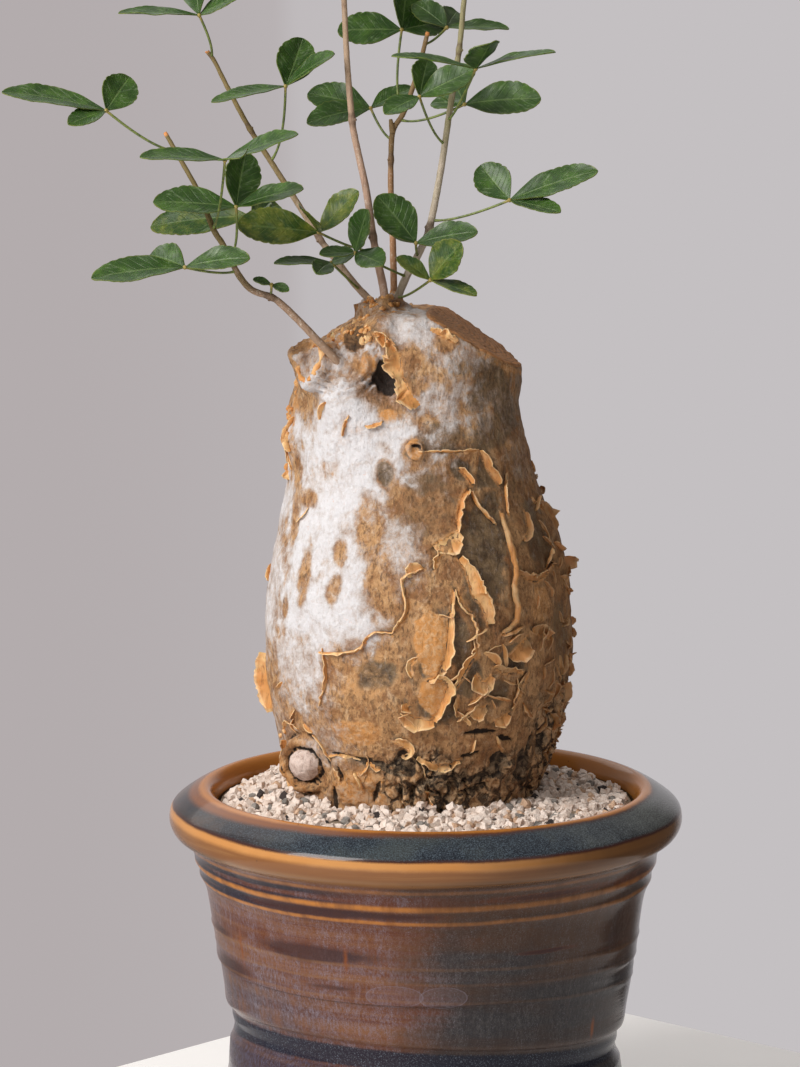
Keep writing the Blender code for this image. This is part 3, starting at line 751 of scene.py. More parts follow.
        collar = paint.mix((grain + clouds * 0.3).rise(0.58, 0.94), self.slate, self.fleck)
        collar = paint.over(
            collar,
            (clouds.rise(0.52, 0.74) * 0.55, srgb(62, 66, 62)),
            (turn.rise(-25.0, -70.0) * round_left * clouds.rise(0.3, 0.6) * 0.8, self.umber))
        far_right = (turn + (clouds - 0.5) * 60.0).rise(28.0, 72.0) * turn.rise(170.0, 120.0)
        collar = paint.over(
            collar,
            (far_right * (grain.rise(0.36, 0.70) * 0.55 + 0.25), srgb(118, 120, 116)),
            (clouds.rise(0.40, 0.26) * runs.rise(0.42, 0.60) * 0.55, self.plum))
        edge = radius + (clouds - 0.5) * 0.0022 + (grain - 0.5) * 0.0008
        plum_to = 0.0690 - turn.rise(-90.0, 60.0) * turn.rise(170.0, 110.0) * 0.0022
        collar = paint.over(
            collar,
            ((edge - plum_to).rise(0.0011, -0.0011),
             paint.mix(turn.rise(40.0, -50.0) * round_left, self.plum, srgb(122, 72, 38))),
            (edge.rise(0.0668, 0.0652), self.amber))
        drop = z + (clouds - 0.5) * 0.0012 + (grain - 0.5) * 0.0004
        lip_top = 0.1055 + turn.rise(-25.0, -70.0) * round_left * 0.0008 - to_right * 0.0002
        outer = radius.rise(0.0722, 0.0728)
        collar = paint.mix((drop - lip_top).rise(0.0013, 0.0004) * outer, collar, self.plum)
        lip = paint.mix((drop - lip_top + to_right * 0.0004).rise(-0.0010, -0.0028) * 0.9,
                        paint.mix(clouds, self.amber, self.lip),
                        paint.mix(rings.rise(0.4, 0.6), self.honey, self.khaki))
        lip = paint.over(
            lip,
            ((turn + (clouds - 0.5) * 40.0).rise(-4.0, 48.0) * turn.rise(170.0, 110.0) * 0.84, self.umber),
            (rings.rise(0.50, 0.66) * clouds.rise(0.42, 0.60) * 0.35, self.honey))
        top = paint.mix((drop - lip_top).rise(0.0005, -0.0003) * outer, collar, lip)
        skin = paint.mix((z + (clouds - 0.5) * 0.0008).rise(0.0994, 0.1008), skin, top)
        specks = paint.cells(420.0).rise(0.10, 0.06) * paint.cloud(150.0).rise(0.56, 0.62)
        skin = paint.mix(specks * 0.8, skin, self.ink)

        inner_wall = paint.mix(rings, srgb(114, 84, 54), srgb(82, 58, 38))
        skin = paint.mix(paint.stored("inside").rise(0.4, 0.6), skin, inner_wall)
        bare = z.rise(0.0022, 0.0008)
        skin = paint.mix(bare, skin, srgb(150, 120, 96))
        relief = runs * 0.15 + rings * 0.50 + clouds * 0.35
        return paint.finish(skin, self.roughness + bare * 0.5 + grain * 0.08, paint.bump(relief, 0.00022),
                            Coat_Weight=0.06 + z.rise(0.098, 0.100) * 0.22, Coat_Roughness=0.05, IOR=1.45,
                            Specular_IOR_Level=0.14)


@dataclass
class Pot:
    """The thrown pot, with its ridges, pinched and tilted waist, rolled collar and drain holes."""

    outside: tuple = (
        (0, 0), (0.03, 0), (0.053, 0), (0.0552, 0.0006), (0.0562, 0.0022), (0.0574, 0.012), (0.0582, 0.024),
        (0.0578, 0.0315), (0.0566, 0.0356), (0.0562, 0.0378), (0.0568, 0.04), (0.057, 0.0425),
        (0.0588, 0.045), (0.0594, 0.0495), (0.0608, 0.0586), (0.0622, 0.067), (0.0641, 0.08),
        (0.0657, 0.085), (0.0672, 0.0905), (0.0688, 0.095), (0.0706, 0.0972), (0.0734, 0.099),
        (0.0748, 0.1016), (0.0749, 0.1042), (0.0739, 0.1067), (0.07, 0.1096), (0.0664, 0.1115),
        (0.0645, 0.112), (0.0628, 0.1111), (0.0612, 0.107))
    inside: tuple = (
        (0.0606, 0.0985), (0.0585, 0.07), (0.0532, 0.02), (0.0505, 0.0098), (0.048, 0.008), (0.03, 0.008),
        (0, 0.008))
    ridges: tuple = rows_of(Ridge, (
        (0.0957, 0.00022, 0.0008), (0.0905, 0.0005, 0.0012), (0.0858, 0.0004, 0.0009),
        (0.0702, 0.0003, 0.0008), (0.065, 0.00022, 0.0007), (0.0588, 0.00026, 0.0007),
        (0.0438, 0.0003, 0.001), (0.0335, 0.0003, 0.0009), (0.025, 0.00025, 0.001), (0.015, 0.00025, 0.001)))
    dark_pools: tuple = rows_of(Pool, (
        (73.2, -30, 4.4, 30, 1.15), (88.2, -22, 2.2, 34), (93, 30, 1.4, 26, 0.8), (60.5, -66, 4.4, 20, 1),
        (72, -70, 2.4, 14, 0.7), (62, -25, 1.4, 12, 0.7), (75, 32, 0.9, 12, 0.9), (92, 66, 3, 24, 0.5),
        (56, -8, 3, 22, 0.35), (80, 112, 5, 26, 0.6), (58, -112, 3, 26, 0.7)))
    drips: tuple = rows_of(Pool, (
        (74.5, -21, 5, 2.2, 0.8), (71.5, -57, 8, 2.4, 0.7), (48.5, 53, 4, 3), (70, 140, 5, 2.6, 0.8)))
    pale_spots: tuple = (Pool(64.6, -8.5, 3.0, 7.2), Pool(64.4, 4.2, 3.0, 6.0))
    tilt: tuple = (-0.060, -0.105)
    tilt_heights: tuple = (0.012, 0.040, 0.094)
    steps: int = 240
    drain_radius: float = 0.005
    drain_distance: float = 0.027
    drain_count: int = 3
    wobble: float = 0.00022

    def profile(self) -> list[tuple[float, float]]:
        """The turned line, from the middle of the base, over the rim, to the middle of the floor.

        Returns:
            Points of radius and height.
        """
        line = flowing([(radius, height, 0.0) for radius, height in self.outside + self.inside], 0.0009)
        line[0].x = line[-1].x = 0.0
        found = []
        for index, point in enumerate(line):
            radius, height = max(0.0, point.x), point.y
            if point.x > 0.0545 and index < 0.7 * len(line):
                for ridge in self.ridges:
                    radius += ridge.rise * math.exp(-(((height - ridge.height) / ridge.spread) ** 2))
            found.append((radius, max(0.0, height)))
        return found

    def lean(self, points: np.ndarray) -> np.ndarray:
        """Tilt the waist's rings and let the wall wander a little, as a thrown wall does.

        Args:
            points: Rows of x, y and z.

        Returns:
            The moved points.
        """
        x, y, z = points.T
        low, middle, high = self.tilt_heights
        share = unit((z - low) / (middle - low)) * unit((high - z) / (high - middle))
        radius = np.hypot(x, y)
        outer = (radius > 0.0545) & ~((radius < 0.0616) & (z > 0.062)) & ~((radius < 0.0575) & (z > 0.045))
        share = np.where(outer, share, 0.0)
        turn = np.arctan2(x, -y)
        wander = 1.0 + share * self.wobble / 0.06 * np.sin(3 * turn + z * 160.0)
        return np.column_stack((x * wander, y * wander, z + share * (self.tilt[0] * x + self.tilt[1] * y)))

    def build(self) -> Object:
        """Turn the pot, tilt its waist and drill its drain holes.

        Returns:
            The pot.
        """
        pot = turned("glazed_pot", self.profile(), self.steps)
        points = points_of(pot)
        inner = np.array(self.inside[::-1])
        bore = np.interp(points[:, 2], inner[1:, 1], inner[1:, 0])
        within = (np.hypot(points[:, 0], points[:, 1]) < bore + 0.0006) & (points[:, 2] > 0.0078)
        paint_points(pot, "inside", within)
        set_points(pot, self.lean(points))
        for index in range(self.drain_count):
            angle = 2 * math.pi * index / self.drain_count + math.pi / 2
            deselect()
            bpy.ops.mesh.primitive_cylinder_add(
                vertices=48, radius=self.drain_radius, depth=0.03,
                location=(self.drain_distance * math.cos(angle), self.drain_distance * math.sin(angle), 0.0))
            cutter = bpy.context.object
            apply_modifier(pot, "BOOLEAN", operation="DIFFERENCE", object=cutter)
            bpy.data.objects.remove(cutter, do_unlink=True)
        smooth(pot, 50.0)
        dress(pot, RunningGlaze().material(self))
        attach(pot, "root")
        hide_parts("pot")
        return pot


# The soil and the grit


@dataclass(frozen=True)
class PottingMix:
    """The dark, crumbly soil under the grit."""

    peat: Colour = srgb(58, 44, 34)
    pale: Colour = srgb(120, 104, 88)

    def material(self) -> Material:
        """Peat with pale crumbs of perlite.

        Returns:
            The material.
        """
        paint = Paint("potting_mix")
        crumbs = paint.cells(420.0)
        speck = paint.cloud(300.0, 4.0).rise(0.60, 0.66)
        colour = paint.mix(speck, paint.mix(crumbs.rise(0.2, 0.9), self.peat, srgb(34, 26, 20)), self.pale)
        return paint.finish(colour, 0.95, paint.bump(crumbs, 0.001), Specular_IOR_Level=0.2)


@dataclass(frozen=True)
class Stone:
    """One colour of grit stone, with its pores and stains."""

    name: str
    body: Colour
    stain: Colour
    share: float

    def material(self) -> Material:
        """A porous stone whose colour drifts from grain to grain.

        Returns:
            The material.
        """
        paint = Paint("grit_" + self.name)
        drift = paint.cloud(260.0, 1.0)
        pores = paint.cells(2400.0)
        patch = paint.cloud(700.0, 3.0)
        colour = paint.mix(patch.rise(0.45, 0.75) * 0.6 + drift.rise(0.45, 0.8) * 0.5, self.body, self.stain)
        colour = paint.mix(pores.rise(0.32, 0.10) * 0.55, colour, self.stain)
        relief = pores * 0.5 + paint.cloud(1500.0, 4.0) * 0.5
        return paint.finish(colour, 0.88, paint.bump(relief, 0.00035), Specular_IOR_Level=0.25)


@dataclass
class Grit:
    """The dressing of small pumice stones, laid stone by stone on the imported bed."""

    seed: int = 5
    outer: float = 0.0598
    inner: float = 0.0352
    middle_x: float = -0.004
    sizes: tuple = (0.00112, 0.00165)
    spacing: float = 0.00232
    row_pitch: float = 0.87
    layers: int = 2
    stones: tuple = (
        Stone("cream", srgb(236, 222, 212), srgb(190, 164, 146), 0.80),
        Stone("tan", srgb(204, 172, 146), srgb(146, 112, 86), 0.11),
        Stone("grey", srgb(142, 136, 130), srgb(92, 88, 86), 0.065),
        Stone("dark", srgb(70, 62, 60), srgb(34, 32, 34), 0.025))

    def stone_forms(self, draw: random.Random) -> list[tuple[np.ndarray, list]]:
        """A few rough lumps, each a rounded cube of 24 faces about a unit in radius.

        Args:
            draw: The random numbers.

        Returns:
            The points and faces of each lump.
        """
        forms = []
        for _ in range(9):
            deselect()
            bpy.ops.mesh.primitive_cube_add(size=1.0)
            cube = bpy.context.object
            edit(cube)
            bpy.ops.mesh.subdivide(number_cuts=1)
            close_edit()
            points = points_of(cube)
            ball = points / np.linalg.norm(points, axis=1)[:, None]
            lump = points * 0.85 + ball * 0.48
            shift = Vector((draw.uniform(-9, 9), draw.uniform(-9, 9), draw.uniform(-9, 9)))
            bumps = np.array([noise.noise(Vector(p) * 2.3 + shift) for p in ball])
            lump *= (1.0 + 0.62 * bumps)[:, None]
            lump *= np.array([1.0, draw.uniform(0.72, 1.0), draw.uniform(0.62, 0.95)])
            faces = [tuple(face.vertices) for face in cube.data.polygons]
            bpy.data.objects.remove(cube, do_unlink=True)
            forms.append((lump, faces))
        return forms

    def places(self, draw: random.Random, bed: BVHTree) -> Iterable[tuple[Vector, float]]:
        """Where each stone lies: jittered rows on the bed, the later layer above the first.

        Args:
            draw: The random numbers.
            bed: The bed that the stones lie on.

        Returns:
            Each stone's place and size.
        """
        for layer in range(self.layers):
            rows = math.ceil(self.outer / (self.spacing * self.row_pitch))
            columns = math.ceil(self.outer / self.spacing)
            for row in range(-rows, rows + 1):
                for column in range(-columns, columns + 1):
                    x = (column + 0.5 * (row % 2) + draw.uniform(-0.34, 0.34)) * self.spacing
                    y = (row * self.row_pitch + draw.uniform(-0.34, 0.34)) * self.spacing
                    size = draw.uniform(*self.sizes) * (1.35 if draw.random() < 0.05 else 1.0)
                    away = math.hypot(x - self.middle_x, y - CAUDEX_AXIS_Y)
                    if math.hypot(x, y) > self.outer - size or away < self.inner:
                        continue
                    hit = bed.ray_cast(Vector((x, y, 0.2)), Vector((0, 0, -1)))[0]
                    if hit is None or hit.z < 0.1:
                        continue
                    if layer and draw.random() < 0.30:
                        continue
                    heap = 0.0016 * math.exp(-(((away - self.inner) / 0.006) ** 2)) * (x < 0.01)
                    yield Vector((x, y, hit.z - 0.0006 + layer * 0.0011 + heap * layer)), size

    def build(self) -> list[Object]:
        """Lay the stones, one piece for each colour, and dress the bed, darkened as painted shade between the
        stones, and the soil under them.

        Returns:
            A piece for each kind of stone.
        """
        draw = random.Random(self.seed)
        node = frame_node("grit")
        bed = BVHTree.FromPolygons([v.co for v in node.data.vertices],
                                   [tuple(p.vertices) for p in node.data.polygons])
        forms = self.stone_forms(draw)
        meshes = {stone.name: ([], []) for stone in self.stones}
        for place, size in self.places(draw, bed):
            points, faces = meshes[self._kind(draw)]
            lump, lump_faces = forms[draw.randrange(len(forms))]
            spin = Euler((draw.uniform(0, 6.3), draw.uniform(0, 6.3), draw.uniform(0, 6.3))).to_matrix()
            start = sum(len(part) for part in points)
            points.append(lump @ np.array(spin).T * size + np.array(place))
            faces.extend(tuple(start + index for index in face) for face in lump_faces)
        pieces = [self._stone_piece(stone, *meshes[stone.name]) for stone in self.stones]
        # The bed shows only between the stones: its darker browns are painted shade, so the gaps read as
        # shadowed grains.
        dress(node, Stone("bed", srgb(150, 134, 116), srgb(84, 70, 58), 0.0).material())
        dress(frame_node("soil"), PottingMix().material())
        return pieces

    def _kind(self, draw: random.Random) -> str:
        """The colour of the next stone.

        Args:
            draw: The random numbers.

        Returns:
            Its name.
        """
        chance = draw.random()
        for stone in self.stones:
            chance -= stone.share
            if chance < 0:
                return stone.name
        return self.stones[0].name

    @staticmethod
    def _stone_piece(stone: Stone, points: list, faces: list) -> Object:
        """One piece that holds all the stones of one colour.

        Args:
            stone: The kind of stone.
            points: The points of each stone.
            faces: The faces of all the stones.

        Returns:
            The piece.
        """
        mesh = bpy.data.meshes.new("stones_" + stone.name)
        mesh.from_pydata(np.vstack(points).tolist(), [], faces)
        obj = bpy.data.objects.new(mesh.name, mesh)
        bpy.context.scene.collection.objects.link(obj)
        smooth(obj, 38.0)
        mesh.materials.append(stone.material())
        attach(obj, "root")
        return obj


def frame_node(name: str) -> Object:
    """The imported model's node of that name."""
    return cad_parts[name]


def dress(obj: Object, *materials: Material) -> None:
    """Give the object these materials and no others.

    Args:
        obj: The object to dress.
        materials: The materials.
    """
    obj.data.materials.clear()
    for material in materials:
        obj.data.materials.append(material)


# The caudex


class Way(Enum):
    """The side to which a strip of bark peels: round the caudex, or up and down it."""

    LEFT = (-1.0, 0.0)
    RIGHT = (1.0, 0.0)
    UP = (0.0, 1.0)
    DOWN = (0.0, -1.0)


@dataclass(frozen=True)
class Patch:
    """A patch of the bark: its turn and height, half width and half height in mm, lean and strength."""

    turn: float
    height: float
    wide: float
    tall: float
    lean: float = 0.0
    strength: float = 1.0


@dataclass(frozen=True)
class Peel:
    """A strip of bark that peels off: its root line as (turn, height) places, and how it stands.

    The width is in millimetres, the curl and the lift of its start in degrees.
    """

    line: tuple
    way: Way
    width: float
    curl: float
    lift: float = 0.0


@dataclass(frozen=True)
class Stump:
    """A stump that grows from the caudex: its two ends and their radii, in metres."""

    start: Place
    end: Place
    root_radius: float
    end_radius: float
    hollow: float = 0.0


@dataclass(frozen=True)
class PeelingBark:
    """The caudex's skin: tan bark, powder, fresh olive bark, amber sheets, dark cracks and painted shade."""

    tan: Colour = srgb(190, 146, 100)
    sand: Colour = srgb(216, 184, 146)
    russet: Colour = srgb(142, 98, 60)
    umber: Colour = srgb(78, 54, 36)
    olive: Colour = srgb(106, 88, 64)
    moss: Colour = srgb(58, 50, 38)
    amber: Colour = srgb(206, 142, 76)
    chalk: Colour = srgb(222, 222, 227)
    ash: Colour = srgb(180, 164, 154)
    # Near black of the cracks, also used as painted shade in hollows, creases and under the strips.
    crack: Colour = srgb(28, 19, 15)
    lichen: Colour = srgb(58, 64, 56)
    wood: Colour = srgb(184, 128, 80)
    wood_line: Colour = srgb(112, 74, 44)
    lip: Colour = srgb(222, 202, 192)

    def material(self) -> Material:
        """The bark, laid out by the marks stored on the skin.

        Returns:
            The material.
        """
        paint = Paint("peeling_bark")
        x, y, z = paint.axes()
        clouds = paint.cloud(70.0, 5.0, 0.62, 0.5)
        middle = paint.cloud(210.0, 5.0, 0.66, 0.6)
        fine = paint.cloud(620.0, 5.0, 0.70, 0.5)
        dust = paint.cloud(2300.0, 4.0, 0.75)
        wisps = paint.cloud(1.0, 6.0, 0.70, 0.9, paint.point(x * 300.0, y * 300.0, z * 190.0))
        grainy = paint.cloud(1.0, 5.0, 0.66, 0.4, paint.point(x * 1100.0, y * 1100.0, z * 480.0))
        pits = paint.cells(520.0)
        net = paint.cells(190.0, "DISTANCE_TO_EDGE", 1.0, paint.point(
            x + (middle - 0.5) * 0.006, y + (clouds - 0.5) * 0.006, (z + (middle - 0.5) * 0.007) * 0.75))

        bark = paint.mix(middle.rise(0.36, 0.62), self.russet, self.tan)
        bark = paint.over(
            bark,
            (wisps.rise(0.50, 0.72) * 0.70, self.sand),
            (grainy.rise(0.48, 0.66) * 0.72, self.umber),
            (pits.rise(0.28, 0.10) * fine.rise(0.42, 0.6) * 0.7, self.umber))
        # Painted shade: where the stored shade marks lie, the bark turns to this darker brown.
        deep = paint.mix(fine.rise(0.36, 0.62), self.umber, self.russet)
        bark = paint.mix(paint.stored("shade") * (0.45 + clouds * 0.75).least(0.92), bark, deep)

        ragged = (middle - 0.5) * 0.75 + (fine - 0.5) * 0.45 + (dust - 0.5) * 0.25
        olive = (paint.stored("olive") + ragged).rise(0.24, 0.80)
        fresh = paint.mix(middle.rise(0.38, 0.64), self.moss, self.olive)
        fresh = paint.over(
            fresh,
            (grainy.rise(0.52, 0.76) * 0.5, self.ash),
            (fine.rise(0.56, 0.74) * 0.45, self.russet))
        bark = paint.mix(olive * 0.85, bark, fresh)
        amber = (paint.stored("amber") + ragged * 0.6).rise(0.32, 0.72)
        bark = paint.mix(amber * 0.85, bark, paint.mix(fine.rise(0.4, 0.7) * 0.7, self.amber, self.sand))

        lichen = (paint.stored("lichen") + ragged * 1.3).rise(0.30, 0.80)
        bark = paint.mix(lichen * 0.62, bark, paint.mix(fine.rise(0.4, 0.6), self.lichen, self.moss))

        powder = paint.stored("powder")
        veil = (powder + (wisps - 0.5) * 1.1 + (fine - 0.5) * 0.9).rise(0.14, 0.78)
        solid = (powder + (wisps - 0.5) * 1.0 + (middle - 0.5) * 0.8 + (fine - 0.5) * 0.7).rise(0.40, 1.12)
        bark = paint.mix(veil * (0.32 + dust * 0.75).least(1.0), bark, self.ash)
        white = paint.mix((grainy.rise(0.48, 0.70) * 0.20 + fine.rise(0.5, 0.8) * 0.15), self.chalk, self.ash)
        bark = paint.mix(solid * (0.66 + dust * 0.40).least(1.0), bark, white)
        blush = (middle - fine * 0.5).rise(0.36, 0.46) * dust.rise(0.50, 0.62) * powder.rise(0.2, 0.6)
        bark = paint.mix(blush * 0.5, bark, srgb(206, 150, 118))

        # Dark marks: real cracks and dark bark, with painted shade in hollows, creases and the shadow lines
        # under the strips.
        dark = (paint.stored("dark") + ragged * 0.7).rise(0.36, 0.74)
        bark = paint.mix(dark * 0.97, bark, self.crack)
        crust = paint.stored("crust")
        splits = net.rise(0.10, 0.03) * (crust * 1.4).least(1.0) * middle.rise(0.36, 0.52)
        bark = paint.over(
            bark,
            (crust * fine.rise(0.36, 0.62) * 0.7, self.sand),
            (crust * grainy.rise(0.50, 0.72) * 0.5, self.umber),
            (splits * 0.9, self.crack))

        cut = paint.stored("cut").rise(0.35, 0.65)
        rings = ((((x + 0.004) ** 2.0 + (y - CAUDEX_AXIS_Y) ** 2.0).root() * 4200.0)
                 + fine * 5.0 + clouds * 9.0).sine()
        wood = paint.mix(rings.rise(0.0, 0.9) * 0.55 + middle.rise(0.5, 0.7) * 0.35, self.wood,
                         self.wood_line)
        wood = paint.mix(grainy.rise(0.52, 0.78) * 0.5, wood, self.sand)
        bark = paint.mix(cut, bark, wood)
        knob = (paint.stored("knob") + ragged * 0.3).rise(0.35, 0.6)
        bark = paint.mix(knob, bark, paint.mix(fine.rise(0.4, 0.7), self.lip, srgb(182, 156, 144)))

        specks = dust.rise(0.60, 0.70) * (1.0 - solid) * (1.0 - cut) * (1.0 - dark * 0.85)
        bark = paint.over(
            bark,
            (specks * 0.45, self.sand),
            (dust.rise(0.42, 0.32) * (1.0 - solid * 0.9) * 0.55, self.umber))
        relief = fine * 0.45 + grainy * 0.30 + wisps * 0.25 + pits.rise(0.0, 0.5) * 0.15 - splits * 1.2
        roughness = 0.60 + solid * 0.3 + dust * 0.12 - olive * 0.14 - lichen * 0.08
        return paint.finish(bark, roughness, paint.bump(relief, 0.0012), Specular_IOR_Level=0.35)


@dataclass(frozen=True)
class PaperyBark:
    """The thin amber sheets that curl off: they let some light through."""

    amber: Colour = srgb(206, 144, 82)
    pale: Colour = srgb(232, 188, 134)
    rust: Colour = srgb(142, 88, 44)
    painted_shade_brown: Colour = srgb(112, 76, 46)
    brim: Colour = srgb(242, 206, 160)

    def material(self) -> Material:
        """Streaked amber paper, with painted shade on the strips to the right.

        Returns:
            The material.
        """
        paint = Paint("papery_bark")
        x, y, z = paint.axes()
        drift = paint.cloud(140.0, 2.0)
        across, _ = paint.uv()
        streaks = paint.cloud(1.0, 4.0, 0.6, 0.5, paint.point(x * 900.0, y * 900.0, z * 260.0))
        colour = paint.mix(drift.rise(0.42, 0.66), self.amber, self.pale)
        colour = paint.over(
            colour,
            (across.rise(0.76, 0.98) * (1.0 - drift * 0.5), self.brim),
            (streaks.rise(0.46, 0.74) * 0.75, self.rust))
        # Painted shade: strips towards +X, away from the light, turn darker.
        right = (x + (drift - 0.5) * 0.03).rise(0.004, 0.036)
        colour = paint.mix(right * 0.62, colour, self.painted_shade_brown)
        return paint.finish(colour, 0.50 + streaks * 0.2, paint.bump(streaks, 0.0002),
                            Specular_IOR_Level=0.4, Subsurface_Weight=0.2, Subsurface_Radius=(1.0, 0.5, 0.2),
                            Subsurface_Scale=0.0012)


@dataclass
class Caudex:
    """The swollen base of the plant, with its stumps, knot, scar, cut top and peeling bark."""

    rows: tuple = (
        (106, -4, 36.4), (113, -3.8, 37.4), (121, -2.6, 39.6), (128, -2.4, 41), (134.5, -2.5, 42.7),
        (143, -2.4, 44.1), (152, -1.6, 44.6), (161, -2.1, 44.6), (170, -2.2, 43.9), (179, -2.4, 42.2),
        (187.5, -2.5, 40.2), (196, -3.3, 37.7), (205, -4.2, 35.6), (214, -5.5, 34.4), (223, -5.5, 32.5),
        (231, -4.6, 32.2), (239, -4, 31.2), (246, -4, 29), (252, -4, 25), (256, -4, 18), (258, -4, 9),
        (258.4, -4, 0))
    swellings: tuple = rows_of(Patch, (
        (-14.5, 232.6, 3.8, 5.4, -25, -5), (-34, 227.5, 9, 9, 0, 5.2), (-8, 248.5, 2.2, 7, 10, -2),
        (3.4, 212.9, 2.4, 2.4, 0, 1.5), (-74, 212, 5, 5, 0, 1.8), (-96, 223, 6, 6, 0, 2.2),
        (-30, 118, 8, 8, 0, 1.6), (22, 115, 7, 7, 0, -1.2), (48, 118, 8, 8, 0, 1.8),
        (80, 176, 12, 12, 0, 1), (140, 150, 16, 16, 0, 2.2), (-150, 170, 16, 16, 0, 1.8),
        (180, 212, 10, 10, 0, 1.6), (-120, 120, 9, 9, 0, 1.8), (120, 119, 9, 9, 0, 2),
        (10, 156, 12, 12, 0, 0.9)))
    stumps: tuple = (
        Stump((-0.012, -0.008, 0.226), (-0.0326, -0.0188, 0.2365), 0.0105, 0.0066, 0.0005),
        Stump((-0.03, -0.008, 0.23), (-0.0352, -0.013, 0.2405), 0.0062, 0.0042, 0.001),
        Stump((-0.014, -0.006, 0.234), (-0.0198, -0.0205, 0.2436), 0.009, 0.005, 0.0012),
        Stump((-0.013, -0.001, 0.238), (-0.0118, -0.003, 0.252), 0.01, 0.0074),
        Stump((-0.0192, 0.001, 0.243), (-0.0195, 0, 0.248), 0.0024, 0.0011))
    cut_point: Place = (-0.002, 0.0, 0.2528)
    cut_normal: Place = (0.63, -0.06, 1.0)
    shoulder_start: tuple = (-0.0130, 0.2495)
    shoulder_slope: float = 0.55
    twig_line: tuple = ((-0.0194, 0.0, 0.2440), (-0.0196, -0.0004, 0.2472), (-0.0194, 0.0, 0.2500),
                        (-0.0198, 0.0, 0.2522))
    nub: tuple = (3.4, 212.9)
    fold_middle: Place = (-0.0258, -0.0245, 0.2370)
    scar_turn: float = -51.6
    scar_height: float = 121.8
    scar_radius: float = 6.7
    scar_place: Optional[np.ndarray] = None
    scar_face: Optional[np.ndarray] = None
    voxel: float = 0.00076
    seat_height: float = 0.1068
    buried: tuple = ((0.0982, 0.0352), (0.0603, 0.0270))
    powder: tuple = rows_of(Patch, (
        (-27, 213, 23, 12), (-4, 217, 13, 8), (-36, 200, 17, 11), (-50, 186, 17, 15), (-31, 178, 10, 18),
        (-43, 167, 21, 13), (-52, 151, 15, 14, 0, 0.75), (-25, 164, 10, 8), (-9, 184, 8, 12, 0, 0.62),
        (24, 241, 14, 7, 0, 0.62), (12, 225, 16, 9, 0, 0.7), (-36, 233, 12, 9, 0, 0.8), (-24, 222, 14, 8),
        (4, 247, 13, 6, 0, 0.8), (38, 224, 12, 8, 0, 0.36), (64, 214, 12, 26, 0, 0.3),
        (-100, 196, 22, 26, 0, 0.9), (-78, 172, 14, 22, 0, 0.8), (-140, 180, 22, 30, 0, 0.7),
        (170, 215, 24, 20, 0, 0.6), (-25, 114, 12, 6, 0, 0.35), (-38, 128, 10, 8, 0, 0.5),
        (-70, 132, 12, 10, 0, 0.5), (110, 222, 14, 18, 0, 0.5)))
    bare: tuple = rows_of(Patch, (
        (-14.5, 231.5, 5, 7.5), (3.4, 212.9, 4.2, 4.2), (-32, 183.5, 2.6, 4.2), (-33, 174.5, 2.3, 4.6, 14),
        (-49, 177, 2.6, 7.5), (-60, 166.6, 1.6, 3.4), (-54, 198, 5, 2.6), (-62, 192, 2.8, 9),
        (-9, 224.3, 3.9, 4), (0, 230.5, 5, 2.4), (10, 220.2, 3.3, 2.8), (-12, 206.5, 3, 4.2),
        (-20, 191, 4, 8.5, 0, 0.8), (-14, 176, 4.5, 7, 0, 0.8), (-66, 205, 3, 4), (-27, 238, 3, 4),
        (18, 243, 3, 3), (-4, 197, 5, 4, 0, 0.7), (-24, 158, 3, 3, 0, 0.7)))
    olive: tuple = rows_of(Patch, (
        (28, 184, 8, 18, 4), (14, 160, 3.2, 10.5, -10), (37, 154.5, 6, 3.6), (-15, 151, 6, 4.4, -20, 0.9),
        (8, 141, 8, 5, 0, 0.8), (17, 150, 4, 6), (30, 145, 5, 4, 0, 0.7), (3, 212, 3, 1.6),
        (-12, 206.5, 2.4, 3.4), (60, 187, 7, 12, 0, 0.7), (66, 160, 7, 9, 0, 0.55), (38, 207, 4, 5, 20),
        (25, 207, 4, 3), (2, 153, 2.4, 3), (95, 190, 9, 16, 0, 0.8), (125, 160, 12, 16, 0, 0.8),
        (165, 180, 10, 20, 0, 0.8), (-165, 150, 12, 14, 0, 0.8), (-120, 150, 9, 12, 0, 0.6)))
    lichen: tuple = rows_of(Patch, (
        (48, 230, 8, 7), (58, 224, 6, 9, 0, 0.9), (36, 226, 4.5, 4.5, 0, 0.8), (37, 236, 5, 3, 0, 0.7),
        (19, 216, 9, 5, 0, 0.7), (48, 217, 9, 6, 0, 0.7), (26, 236, 4, 3, 0, 0.6), (75, 225, 8, 12, 0, 0.6),
        (5, 204, 7, 4, 0, 0.6), (-4, 191, 8, 5, 0, 0.5), (55, 205, 8, 9, 0, 0.5), (150, 225, 12, 10, 0, 0.6)))
    amber: tuple = rows_of(Patch, (
        (4, 160, 4.6, 9.5), (5, 144.5, 4, 6, -15), (-22, 149, 10, 7, 0, 0.42), (-24, 133, 9, 4, 0, 0.62),
        (-24, 117, 11, 5.5, 0, 0.66), (-6, 112, 8, 3, 0, 0.5), (-20, 236, 5, 4, 0, 0.7),
        (-50, 243, 7, 4, 0, 0.7), (-78, 220, 5, 8, 0, 0.6), (52, 168, 6, 6, 0, 0.5), (-33, 215.5, 3.2, 1.6),
        (-9, 222, 3, 2.4, 0, 0.9), (-22, 219, 4, 2, 0, 0.8), (3.6, 213.2, 2.9, 2.9)))
